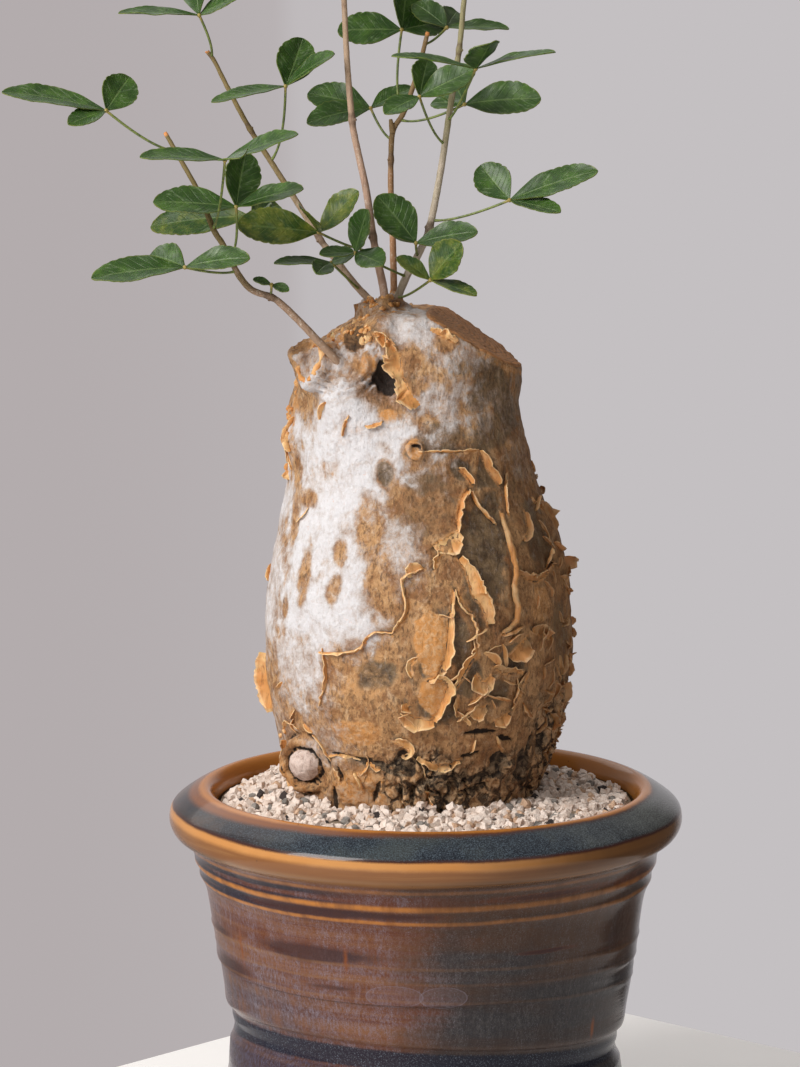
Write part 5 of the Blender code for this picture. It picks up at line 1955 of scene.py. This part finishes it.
    def peeling(self, body: Object) -> Object:
        """All the strips and flakes of bark that stand off the skin, as one piece.

        Args:
            body: The caudex's skin.

        Returns:
            The piece.
        """
        skin = BVHTree.FromObject(body, bpy.context.evaluated_depsgraph_get())
        draw = random.Random(self.scatter_seed)
        peels = list(self.peels)
        for turn_from, turn_to, low, high, count in self.scatter:
            for _ in range(count):
                turn, height = draw.uniform(turn_from, turn_to), draw.uniform(low, high)
                way = draw.choice((Way.LEFT, Way.RIGHT, Way.RIGHT, Way.DOWN, Way.UP))
                length = draw.uniform(2.5, 8.0)
                slant = draw.uniform(-0.9, 0.9) + (1.4 if way in (Way.UP, Way.DOWN) else 0.0)
                end = (turn + length * math.sin(slant) * 1.4, height - length * math.cos(slant))
                middle = ((turn + end[0]) / 2 + draw.uniform(-1.5, 1.5), (height + end[1]) / 2)
                peels.append(Peel(((turn, height), middle, end), way, draw.uniform(0.8, 2.3),
                                  draw.uniform(50, 190), draw.uniform(0, 35)))
        strips = [self.strip(skin, peel, index) for index, peel in enumerate(peels)]
        piece = join(strips + self.crumb_lumps(skin, draw), "peeling_strips")
        smooth(piece, 50.0)
        dress(piece, PaperyBark().material())
        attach(piece, "root")
        return piece


# The stems


@dataclass(frozen=True)
class StemBark:
    """A stem's bark: its colour, its dark grooves and the greener young wood near its tip."""

    name: str
    bark: Colour
    groove: Colour
    young: Colour
    cut_wood: Colour = srgb(212, 142, 84)
    scar: Colour = srgb(92, 72, 56)
    dust: Colour = srgb(214, 202, 188)

    def material(self) -> Material:
        """Streaked bark that turns greener upwards, with darker rings at the nodes.

        Returns:
            The material.
        """
        paint = Paint("bark_of_" + self.name)
        x, y, z = paint.axes()
        fine = paint.cloud(900.0, 4.0, 0.65)
        streaks = paint.cloud(1.0, 4.0, 0.6, 0.4, paint.point(x * 1500.0, y * 1500.0, z * 260.0))
        patches = paint.cloud(190.0, 3.0)
        along = paint.stored("along")
        young = (along + (patches - 0.5) * 0.5).rise(0.28, 0.66)
        colour = paint.mix(young * 0.85, self.bark, self.young)
        colour = paint.over(
            colour,
            (streaks.rise(0.50, 0.74) * 0.6, self.groove),
            (fine.rise(0.52, 0.74) * (0.62 - young * 0.52), self.dust),
            (paint.stored("node") * (0.5 + fine * 0.5), self.scar),
            (paint.stored("end"), self.cut_wood))
        return paint.finish(colour, 0.66, paint.bump(streaks * 0.6 + fine * 0.4, 0.00025),
                            Specular_IOR_Level=0.35)


@dataclass(frozen=True)
class Stem:
    """A thin woody stem: its route in millimetres, its radii, its bark and how it ends."""

    name: str
    route: tuple
    base_radius: float
    tip_radius: float
    bark: StemBark
    cut: bool = True
    stub: tuple = ()
    sides: int = 14
    step: float = 0.0007
    slim: float = 0.80

    def nodes(self) -> list[int]:
        """The route points at which the stem is swollen."""
        return [index for index in range(3, len(self.route)) if index % 3 == 1]

    def line(self) -> list[Vector]:
        """The stem's middle line in metres."""
        return [point * MM for point in flowing(self.route, self.step / MM)]

    def build(self) -> Object:
        """Model the stem with its nodes, leaf scars and any dead stub.

        Returns:
            The stem.
        """
        line = self.line()
        rings = [Vector(self.route[index]) * MM for index in self.nodes()]
        radii = []
        for index, point in enumerate(line):
            share = index / (len(line) - 1)
            radius = (self.base_radius + (self.tip_radius - self.base_radius) * share) * MM * self.slim
            near = min((point - ring).length for ring in rings)
            swollen = 0.17 * math.exp(-((near / 0.0009) ** 2))
            radius *= 1.0 + swollen - 0.06 * math.exp(-(((near - 0.002) / 0.0006) ** 2))
            radii.append(radius * (1.0 + 0.05 * noise.noise(point * 500.0)))
        if self.cut:
            radii[-1] *= 0.86
        pieces = [tube(self.name, line, radii, self.sides)]
        pieces += [self._scar(line, radii, ring, index) for index, ring in enumerate(rings)]
        if self.stub:
            start, end = (Vector(point) * MM for point in self.stub)
            pieces.append(tube("stub", [start, start.lerp(end, 0.5), end], [0.0009, 0.0008, 0.0005],
                               self.sides))
        stem = join(pieces, "bark_" + self.name)
        points = points_of(stem)
        path = np.array(line)
        away = np.linalg.norm(points[:, None, :] - path[None, :, :], axis=2)
        along = away.argmin(axis=1) / (len(line) - 1)
        knots = np.linalg.norm(points[:, None, :] - np.array(rings)[None, :, :], axis=2).min(axis=1)
        tip = np.linalg.norm(points - path[-1], axis=1)
        paint_points(stem, "along", along)
        paint_points(stem, "node", np.exp(-(((knots - 0.0016) / 0.0006) ** 2)))
        paint_points(stem, "end", (tip < self.tip_radius * MM * 1.25) * float(self.cut))
        lumps = rough_field(points, 900.0, 3.0, 2)
        push_out(stem, points, lumps * 0.00006)
        smooth(stem, 50.0)
        dress(stem, self.bark.material())
        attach(stem, "root")
        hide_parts(self.name)
        return stem

    def _scar(self, line: list[Vector], radii: list[float], ring: Vector, index: int) -> Object:
        """The pad that an old leaf left at a node, on alternate sides.

        Args:
            line: The middle line.
            radii: The radius at each point of the line.
            ring: The node's place.
            index: Its number, which sets the side.

        Returns:
            The pad.
        """
        nearest = min(range(1, len(line)), key=lambda spot: (line[spot] - ring).length)
        along = (line[nearest] - line[nearest - 1]).normalized()
        side = along.cross(Vector((0.2, -1.0, 0.1))).normalized() * (1 if index % 2 else -1)
        side = (side + Vector((0.0, -0.6, 0.0))).normalized()
        deselect()
        bpy.ops.mesh.primitive_uv_sphere_add(
            segments=12, ring_count=8, radius=radii[nearest] * 0.62, scale=(1.0, 0.75, 0.8),
            location=line[nearest] + side * radii[nearest] * 0.72,
            rotation=side.to_track_quat("X", "Z").to_euler())
        return apply_place(bpy.context.object)


STEMS = (
    Stem("stem_a", (
          (-23.4, -21.8, 235.2), (-26.3, -23.6, 238.6), (-34.6, -26, 247.7), (-40.9, -27, 253.9),
          (-43.6, -27, 255.6), (-48.8, -26, 257.5), (-52.1, -26, 261.1), (-54.3, -26, 265.2),
          (-57.1, -25, 270.5), (-59.6, -24, 274.4), (-63.3, -22, 283.7), (-67.2, -21, 290.8),
          (-73.2, -18, 301)),
         1.45, 0.75, StemBark("stem_a", srgb(158, 130, 108), srgb(104, 80, 62), srgb(106, 94, 44))),
    Stem("stem_b", (
          (-12.2, -2, 248.2), (-15.5, -2, 252.6), (-20.4, -2, 257.9), (-26.1, -2, 265.2),
          (-30.4, -1, 270.7), (-34.7, 0, 277.6), (-43.3, 1, 291), (-50.4, 2, 302), (-56.7, 3, 313.6),
          (-60.4, 4, 321), (-62.6, 4, 324)),
         1.4, 0.75, StemBark("stem_b", srgb(172, 148, 126), srgb(112, 92, 70), srgb(112, 96, 44))),
    Stem("stem_c", (
          (-12, -7, 247.5), (-11.9, -7, 253.6), (-12.4, -7.5, 258), (-13.8, -8, 264.5), (-15.1, -8, 271.5),
          (-17.1, -7, 284.8), (-19.7, -6, 296.7), (-21.1, -6, 304.5), (-22.5, -5, 321.4),
          (-23.3, -4, 338.1), (-23.8, -3, 352), (-24.6, -2, 366)),
         1.5, 0.8, StemBark("stem_c", srgb(176, 144, 124), srgb(118, 88, 72), srgb(166, 142, 118)),
         cut=False),
    Stem("stem_d", (
          (-9, 3.4, 248), (-9.2, 4, 253.7), (-9.5, 6, 267.4), (-10.1, 8, 281.7), (-10.1, 9, 293.2),
          (-9.5, 9, 301.5), (-6.1, 8, 307.4), (-2.3, 8, 318.8), (0.5, 8, 329.6)),
         1.3, 0.8, StemBark("stem_d", srgb(168, 124, 90), srgb(110, 78, 54), srgb(122, 102, 66)),
         stub=((-9.6, 8.5, 301), (-10.2, 8, 304.8))),
    Stem("stem_e", (
          (-10.6, -2.6, 246), (-8.6, -2.8, 253), (-5.4, -3, 260.7), (-1.8, -3, 267.4), (0.9, -3, 274),
          (3.9, -3, 289), (6.7, -2, 307.4), (9.3, -1, 324.3), (10.7, 0, 338.3), (12.4, 1, 350),
          (14.4, 1, 361)),
         1.5, 0.8, StemBark("stem_e", srgb(176, 162, 144), srgb(116, 104, 84), srgb(140, 134, 92)),
         cut=False))


# The leaves


@dataclass(frozen=True)
class LeafGreen:
    """The leaflets' skin: blue-green, with pale veins, whitish bloom and yellow-green margins."""

    deep: Colour = srgb(38, 66, 20)
    fresh: Colour = srgb(72, 104, 34)
    vein: Colour = srgb(118, 142, 84)
    bloom: Colour = srgb(154, 170, 138)
    margin: Colour = srgb(140, 140, 66)
    old: Colour = srgb(106, 110, 36)
    spot: Colour = srgb(70, 58, 28)

    def material(self) -> Material:
        """A leaflet laid out from its rib outwards.

        Returns:
            The material.
        """
        paint = Paint("leaf_skin")
        across, along = paint.uv()
        side = abs(across - 0.5) * 2.0
        clouds = paint.cloud(230.0, 3.0, 0.6)
        fine = paint.cloud(1100.0, 4.0, 0.65)
        veins = ((along * 8.5 - side * 1.9 + (clouds - 0.5) * 0.5) * 6.2832).sine()
        vein_line = veins.rise(0.80, 0.99) * side.rise(0.98, 0.75)
        bloom = paint.cloud(1.0, 3.0, 0.6, 0.3,
                            paint.point(along * 11.0 - side * 3.0, across * 3.4, clouds * 1.5))
        colour = paint.mix(clouds.rise(0.40, 0.72) * 0.6 + along * 0.15, self.deep, self.fresh)
        colour = paint.over(
            colour,
            (bloom.rise(0.54, 0.80) * 0.36, self.bloom),
            (fine.rise(0.56, 0.72) * clouds.rise(0.40, 0.60) * 0.30, self.bloom),
            (vein_line * (0.04 + bloom * 0.12), self.vein),
            (side.rise(0.09, 0.02) * (1.0 - along * 0.6) * 0.55, self.vein))
        age = paint.stored("age")
        edge = (side + (fine - 0.5) * 0.20 + along.rise(0.90, 1.02) * 0.4).rise(0.90, 1.06)
        colour = paint.mix(edge * (0.38 + age * 0.5), colour, self.margin)
        worn = (age * 1.25 + (clouds - 0.5) * 1.2 + (fine - 0.5) * 0.4).rise(0.30, 0.85) * age.rise(0.0, 0.25)
        colour = paint.over(
            colour,
            (worn * 0.85, paint.mix(fine.rise(0.45, 0.7) * 0.6, self.old, self.margin)),
            ((fine + age * 0.10).rise(0.72, 0.80) * 0.45, self.spot))
        relief = (1.0 - side.rise(0.10, 0.0)) * 0.5 - vein_line * 0.3 + fine * 0.2
        return paint.finish(colour, 0.32 + fine * 0.20, paint.bump(relief, 0.00022), Specular_IOR_Level=0.38,
                            Subsurface_Weight=0.12, Subsurface_Radius=(0.4, 1.0, 0.2),
                            Subsurface_Scale=0.0008)


@dataclass(frozen=True)
class StalkGreen:
    """The leaf stalks: yellow-green, orange where the leaflets meet."""

    green: Colour = srgb(116, 128, 62)
    shade: Colour = srgb(84, 98, 48)
    hub: Colour = srgb(158, 136, 70)

    def material(self) -> Material:
        """A stalk that turns orange towards its hub.

        Returns:
            The material.
        """
        paint = Paint("leaf_stalk")
        fine = paint.cloud(700.0, 3.0)
        colour = paint.mix(fine.rise(0.40, 0.65), self.green, self.shade)
        colour = paint.mix(paint.stored("hub").rise(0.2, 0.9) * 0.85, colour, self.hub)
        return paint.finish(colour, 0.48, paint.bump(fine, 0.0001), Subsurface_Weight=0.1,
                            Subsurface_Radius=(0.6, 1.0, 0.2), Subsurface_Scale=0.0005)


@dataclass(frozen=True)
class Blade:
    """A leaflet: its tip in millimetres, its width and its roll about its length in degrees."""

    tip: Place
    width: float
    roll: float


@dataclass(frozen=True)
class Leaf:
    """A leaf: its stem, where its stalk begins, its hub, its leaflets and how far it has yellowed."""

    name: str
    stem: str
    joint: Place
    hub: Place
    blades: tuple
    age: float = 0.0
    thickness: float = 0.00030
    fold: float = 0.22
    droop: float = 0.07
    stalk_radius: float = 0.00042
    hub_radius: float = 0.00075
    across: int = 10
    along: int = 44

    def build(self, stem_line: list[Vector], finishes: tuple) -> Object:
        """Model the stalk, the hub and the leaflets and join them.

        Args:
            stem_line: The middle line of the stem that carries the leaf.
            finishes: The materials of the leaflets and of the stalk.

        Returns:
            The leaf.
        """
        hub = Vector(self.hub) * MM
        stalk = self._stalk(stem_line, hub)
        dress(stalk, finishes[1])
        pieces = [self._blade(hub, blade, index) for index, blade in enumerate(self.blades)]
        for piece in pieces:
            dress(piece, finishes[0])
        leaf = join([stalk] + pieces, self.name.replace("leaf", "foliage"))
        smooth(leaf, 60.0)
        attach(leaf, "root")
        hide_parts(self.name)
        return leaf

    def _stalk(self, stem_line: list[Vector], hub: Vector) -> Object:
        """The bending stalk with its hub.

        Args:
            stem_line: The middle line of the stem.
            hub: Where the leaflets meet, in metres.

        Returns:
            The stalk.
        """
        joint = Vector(self.joint) * MM
        nearest = min(range(1, len(stem_line)), key=lambda spot: (stem_line[spot] - joint).length)
        start = stem_line[nearest]
        up = (start - stem_line[nearest - 1]).normalized()
        out = hub - start
        out = (out - up * out.dot(up) * 0.75).normalized()
        bend = start + out * (0.30 * (hub - start).length)
        shares = [index / 14 for index in range(15)]
        line = [start.lerp(bend, t).lerp(bend.lerp(hub, t), t) for t in shares]
        radii = [self.stalk_radius * (1.25 - 0.45 * min(1.0, t * 5) + 0.10 * t) for t in shares]
        deselect()
        bpy.ops.mesh.primitive_ico_sphere_add(subdivisions=3, radius=self.hub_radius * 0.85, location=hub)
        knob = apply_place(bpy.context.object)
        stalk = join([tube("stalk", line, radii, 10), knob], "stalk")
        away = np.linalg.norm(points_of(stalk) - np.array(hub), axis=1)
        paint_points(stalk, "hub", 1.0 - away / 0.0035)
        return stalk

    def _blade(self, hub: Vector, blade: Blade, index: int) -> Object:
        """One leaflet: an egg-shaped sheet with rounded teeth, folded along its rib.

        Args:
            hub: Where the leaflets meet, in metres.
            blade: The leaflet's sizes.
            index: Its number, which shifts its noise.

        Returns:
            The leaflet.
        """
        along = Vector(blade.tip) * MM - hub
        length = along.length
        along.normalize()
        level = along.cross(Vector((0, 0, 1)))
        level = level.normalized() if level.length > 0.05 else Vector((1, 0, 0))
        upper = level.cross(along)
        roll = math.radians(blade.roll)
        if level.dot(Vector((0, 1, 0))) * math.sin(roll) < 0:
            roll = -roll
        side = level * math.cos(roll) + upper * math.sin(roll)
        face = side.cross(along).normalized()
        half = 0.5 * blade.width * MM
        seed = Vector((sum(blade.tip) * 0.37, index * 5.1, 0.0))
        teeth = max(7.0, length / 0.0024)

        def shape(u: float, v: float) -> Vector:
            """The point at a share across and along the leaflet.

            Args:
                u: The share across.
                v: The share along.

            Returns:
                The point.
            """
            reach = (u - 0.5) * 2.0
            full = math.sin(math.pi * v ** 1.22) ** (0.82 - 0.26 * v) if 0 < v < 1 else 0.0
            outline = 0.05 + 0.95 * full
            notch = (1.0 - abs(math.sin(math.pi * (teeth * v + 0.25 * (reach > 0))))) ** 1.6
            toothed = 1.0 - 0.085 * notch * max(0.0, min(1.0, (v - 0.35) / 0.3)) * abs(reach) ** 3
            wide = half * outline * toothed * (1.0 + 0.06 * noise.noise(seed + Vector((v * 2.2, reach, 0))))
            wave = 0.16 * noise.noise(seed + Vector((v * 3.4, reach * 1.1, 4.0))) * abs(reach)
            ripple = 0.020 * math.sin(v * teeth * 2.2 + reach) * abs(reach) ** 2
            sag = -self.droop * length * v * v
            lift = (self.fold * abs(reach) ** 1.3 + wave + ripple) * wide
            skew = side * (0.04 * length * noise.noise(seed * 1.3) * v * (1.0 - v) * 4.0)
            middle = hub + along * (length * (0.012 + 0.988 * v)) + upper * sag
            return middle + side * (wide * reach) + face * lift + skew

        leaflet = sheet("leaflet", self.across, self.along, shape, self.thickness)
        paint_points(leaflet, "age", np.full(len(leaflet.data.vertices), self.age))
        return leaflet


def leaf(name: str, age: float, joint: Place, hub: Place, *blades: tuple) -> Leaf:
    """A leaf from a row of its values.

    Args:
        name: The leaf's letter, which is its stem's, and number.
        age: How far it has yellowed.
        joint: Where its stalk begins, in millimetres.
        hub: Where its leaflets meet, in millimetres.
        blades: The values of each leaflet.

    Returns:
        The leaf.
    """
    return Leaf("leaf_" + name, "stem_" + name[0], joint, hub, rows_of(Blade, blades), age)


LEAVES = (
    leaf("a1", 0, (-43.6, -27, 256.2), (-43.2, -28.6, 259),
         ((-38.2, -30.5, 257.8), 3.4, 40), ((-48.2, -28.6, 261), 3, 40)),
    leaf("a2", 0.1, (-53.2, -26, 263), (-67, -32, 264),
         ((-92.5, -37, 263), 11, 34), ((-77, -24, 268), 10, 55), ((-49, -38, 268), 9.5, 42)),
    leaf("a3", 0, (-59.4, -24, 274), (-55, -45, 293.5),
         ((-77.5, -50, 296), 9, 22), ((-50, -62, 295.5), 8.5, 20), ((-35.5, -50, 302), 9, 30)),
    leaf("a4", 0, (-55, -26, 266.5), (-53, -27, 280.5),
         ((-75.5, -31, 283.5), 11.5, 42), ((-51, -24, 296), 12.5, 72), ((-34.5, -33, 287), 9.5, 34)),
    leaf("a6", 0, (-70.2, -19.5, 296), (-89, -24, 307),
         ((-117, -27, 314), 10, 30), ((-83.5, -18, 317), 10.5, 62), ((-99, -31, 304), 7.5, 32)),
    leaf("b1", 0, (-61.2, 4, 322.2), (-64.5, 0, 334),
         ((-87, -4, 336), 8, 18), ((-66, 5, 350), 12, 66), ((-53, -5, 340), 9, 40)),
    leaf("b2", 0, (-44.6, 1.2, 293), (-40, -3, 314),
         ((-61, -8, 311), 8, 20), ((-36, 0, 328), 12, 74), ((-26.5, -10, 324), 9.5, 40)),
    leaf("b3", 0, (-19.4, -2, 256.9), (-27, -12, 264.5),
         ((-43, -15, 265.5), 6.5, 20), ((-20.5, -15.5, 267.5), 7.5, 44), ((-31, -22, 262.5), 6.5, 30)),
    leaf("b5", 0.35, (-32, -0.6, 273.3), (-50, 2, 277),
         ((-79.5, 6, 276), 11.5, 55), ((-46, -10, 279.5), 9.5, 24), ((-43, 14, 281), 9, 40)),
    leaf("c1", 0.42, (-14.4, -8, 267.5), (-30.5, -12, 273),
         ((-53, -17, 277), 12, 60), ((-20, -16, 285.5), 9.5, 62), ((-35, -24, 281), 9, 40)),
    leaf("c2", 0, (-23.2, -4, 340), (-30, -10, 350),
         ((-47, -14, 354), 9.5, 34), ((-31, -8, 366), 10.5, 62), ((-15, -17, 356), 9, 36)),
    leaf("c3", 0, (-24.3, -2.4, 361), (-22, 3, 372),
         ((-36, 8, 379), 9, 46), ((-20, 2, 388), 10, 62), ((-6, 8, 377), 9, 40)),
    leaf("d1", 0, (-9.8, 9, 299), (-16, 15, 308),
         ((-34, 18, 313.5), 10.5, 56), ((-34.5, 9, 305), 9.5, 44), ((-4, 22, 315), 7.5, 30)),
    leaf("d2", 0, (-6.6, 8.2, 306.6), (-7, 17, 330.5),
         ((-25.5, 16, 331.5), 11, 62), ((-5.5, 21, 347), 12, 66), ((5, 23, 334), 9.5, 58)),
    leaf("d3", 0, (-7.8, 8.5, 304.6), (11, 3, 309),
         ((32.5, 0, 312), 12, 56), ((1.5, 8, 310), 7, 40), ((6, 12, 320), 10.5, 60)),
    leaf("d4", 0, (-0.4, 8, 326), (6, 14, 331),
         ((-3, 20, 339), 8.5, 40), ((24, 16, 332), 7.5, 24), ((9, 27, 337), 8, 40)),
    leaf("e1", 0, (-5.7, -3, 260), (-20, -20, 267.5),
         ((-17, -23, 280), 11.5, 76), ((-30, -23, 268), 6, 30), ((-12, -31, 265.5), 8.5, 36)),
    leaf("e2", 0, (-2.4, -3, 266.3), (-3, -13, 270),
         ((-13, -14, 284), 12, 70), ((-9, -2, 278), 8, 60), ((14, -18, 274.5), 10, 44)),
    leaf("e3", 0.38, (-8.2, -2.8, 254), (1, -22, 260),
         ((9, -26, 271), 12.5, 68), ((-8, -22, 267), 6, 44), ((14, -29, 257), 6.5, 20)),
    leaf("e4", 0, (1.3, -3, 276), (23.5, -10, 282),
         ((16, -4, 292.5), 10.5, 58), ((47.5, -14, 292), 10.5, 44), ((37.5, -20, 280), 8, 24)),
    leaf("e5", 0, (5.2, -2.4, 298), (-2, -9, 311),
         ((13, -10, 319.5), 10, 56), ((0, -5, 322), 9.5, 60), ((-12, -16, 307), 8, 30)),
    leaf("e6", 0, (6.5, -2, 305), (13.5, -22, 318.5),
         ((-9.5, -27, 323.5), 8.5, 14), ((17, -33, 326), 11.5, 20), ((35, -27, 324.5), 8.5, 14)),
    leaf("e7", 0, (11.9, 0.7, 347), (19, -2, 354),
         ((4, -6, 360), 9, 36), ((24, 0, 370), 10.5, 60), ((37, -5, 356), 9, 34)),
    leaf("e8", 0, (13.9, 1, 358.6), (12, 7, 369),
         ((-2, 12, 376), 8.5, 50), ((14, 9, 385), 9.5, 60), ((27, 12, 374), 8.5, 40)))


# The stage


@dataclass(frozen=True)
class Backdrop:
    """The pale tabletop and the grey room behind it."""

    top: Colour = srgb(248, 245, 243)
    wall: Colour = srgb(179, 172, 173)
    lit_wall: Colour = srgb(196, 192, 194)
    window_side: Colour = srgb(168, 166, 163)
    far_side: Colour = srgb(84, 79, 76)
    ceiling: Colour = srgb(206, 202, 198)

    def table_material(self) -> Material:
        """A smooth, slightly uneven white tabletop.

        Returns:
            The material.
        """
        paint = Paint("tabletop")
        grain = paint.cloud(60.0, 4.0)
        return paint.finish(paint.mix(grain * 0.12, self.top, srgb(190, 186, 182)), 0.55,
                            Emission_Color=(1.0, 0.985, 0.97, 1.0), Emission_Strength=0.12)


@dataclass
class Stage:
    """The tabletop, whose far corner shows behind the plant, the soft light and the camera."""

    corner: tuple = (0.012, 0.199)
    right_edge: tuple = (0.76, -0.65)
    left_edge: tuple = (-0.707, -0.707)
    reach: float = 1.5
    thick: float = 0.03
    camera_place: Place = (-0.0075, -0.892, 0.3007)
    camera_tilt: float = 82.65
    lens: float = 104.6
    lights: tuple = (  # name, place, size, power, colour
        ("window", (-1.05, -0.85, 1.10), 0.8, 28.0, (1.0, 0.985, 0.955)),
        ("room", (0.9, -1.3, 0.9), 1.4, 2.2, (1.0, 0.97, 0.94)),
        ("behind", (-0.5, 1.1, 1.2), 1.2, 4.0, (0.97, 0.98, 1.0)))

    def build(self) -> None:
        """Set up the table, the room, the lights and the camera."""
        self._table()
        self._room()
        for name, place, size, power, colour in self.lights:
            self._light(name, place, size, power, colour)
        self._camera()

    def _table(self) -> None:
        """A slab with a bevelled edge, its top at the pot's foot."""
        deselect()
        bpy.ops.mesh.primitive_plane_add(size=1.0)
        table = bpy.context.object
        table.name = table.data.name = "tabletop"
        corner = Vector((*self.corner, 0.0))
        right = Vector((*self.right_edge, 0.0)) * self.reach
        left = Vector((*self.left_edge, 0.0)) * self.reach
        for vert, place in zip(table.data.vertices,
                               (corner + right + left, corner + right, corner + left, corner)):
            vert.co = place
        edit(table)
        bpy.ops.mesh.extrude_region_move(TRANSFORM_OT_translate={"value": (0, 0, -self.thick)})
        close_edit()
        tidy_skin(table)
        apply_modifier(table, "BEVEL", width=0.0025, segments=4)
        smooth(table, 40.0)
        dress(table, Backdrop().table_material())
        table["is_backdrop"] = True

    def _room(self) -> None:
        """A grey room all round, seen as the wall."""
        world = bpy.data.worlds.new("room")
        bpy.context.scene.world = world
        paint = Paint("room", world, "Generated")
        look = Backdrop()
        x, y, z = paint.axes()
        wall = paint.mix(x.rise(-0.120, 0.06) * 0.6 + (x + z * 0.04).rise(-0.040, -0.030) * 0.4, look.wall,
                         look.lit_wall)
        room = paint.mix(x.rise(-0.75, 0.45), look.window_side, look.far_side)
        room = paint.mix(z.rise(0.35, 0.9) * 0.7, room, look.ceiling)
        colour = paint.mix(y.rise(0.80, 0.94), room, wall)
        background = paint.node("ShaderNodeBackground", {}, {"Color": colour, "Strength": 1.0})
        paint.node("ShaderNodeOutputWorld", {}, {0: background.outputs[0]})
        bpy.context.scene.view_settings.view_transform = "Standard"

    @staticmethod
    def _light(name: str, place: Place, size: float, power: float, colour: Colour) -> None:
        """A soft square light that faces the plant.

        Args:
            name: The light's name.
            place: Where it stands.
            size: The length of its side.
            power: Its power in watts.
            colour: Its colour.
        """
        deselect()
        aim = Vector((0.0, 0.0, 0.17)) - Vector(place)
        bpy.ops.object.light_add(type="AREA", location=place,
                                 rotation=aim.to_track_quat("-Z", "Y").to_euler())
        lamp = bpy.context.object
        lamp.name = name
        lamp.data.size = size
        lamp.data.energy = power
        lamp.data.color = colour

    def _camera(self) -> None:
        """The camera that took the reference picture."""
        deselect()
        bpy.ops.object.camera_add(location=self.camera_place,
                                  rotation=(math.radians(self.camera_tilt), 0.0, 0.0))
        camera = bpy.context.object
        camera.data.sensor_width = 36.0
        camera.data.lens = self.lens
        camera.data.clip_start = 0.05
        bpy.context.scene.camera = camera


# Everything together


def report(pieces: Iterable[Object]) -> None:
    """Log each piece's name and how many faces it has."""
    for piece in pieces:
        REPORT.info("%s: %d faces", piece.name, len(piece.data.polygons))


def main() -> None:
    """Build the pot, the grit, the caudex, the stems, the leaves and the stage."""
    logging.basicConfig(level=logging.INFO, format="%(name)s: %(message)s")
    noise.seed_set(NOISE_SEED)
    report([Pot().build()])
    report(Grit().build())
    report(Caudex().build())
    report(stem.build() for stem in STEMS)
    lines = {stem.name: stem.line() for stem in STEMS}
    finishes = (LeafGreen().material(), StalkGreen().material())
    report(leaf.build(lines[leaf.stem], finishes) for leaf in LEAVES)
    Stage().build()
    write_sizes()


def write_sizes() -> None:
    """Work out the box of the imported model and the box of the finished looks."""
    boxes = {"cad": CAD_BOX, "looks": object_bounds()}
    plain = {name: [list(corner) for corner in box] for name, box in boxes.items()}


if __name__ == "__main__":
    main()
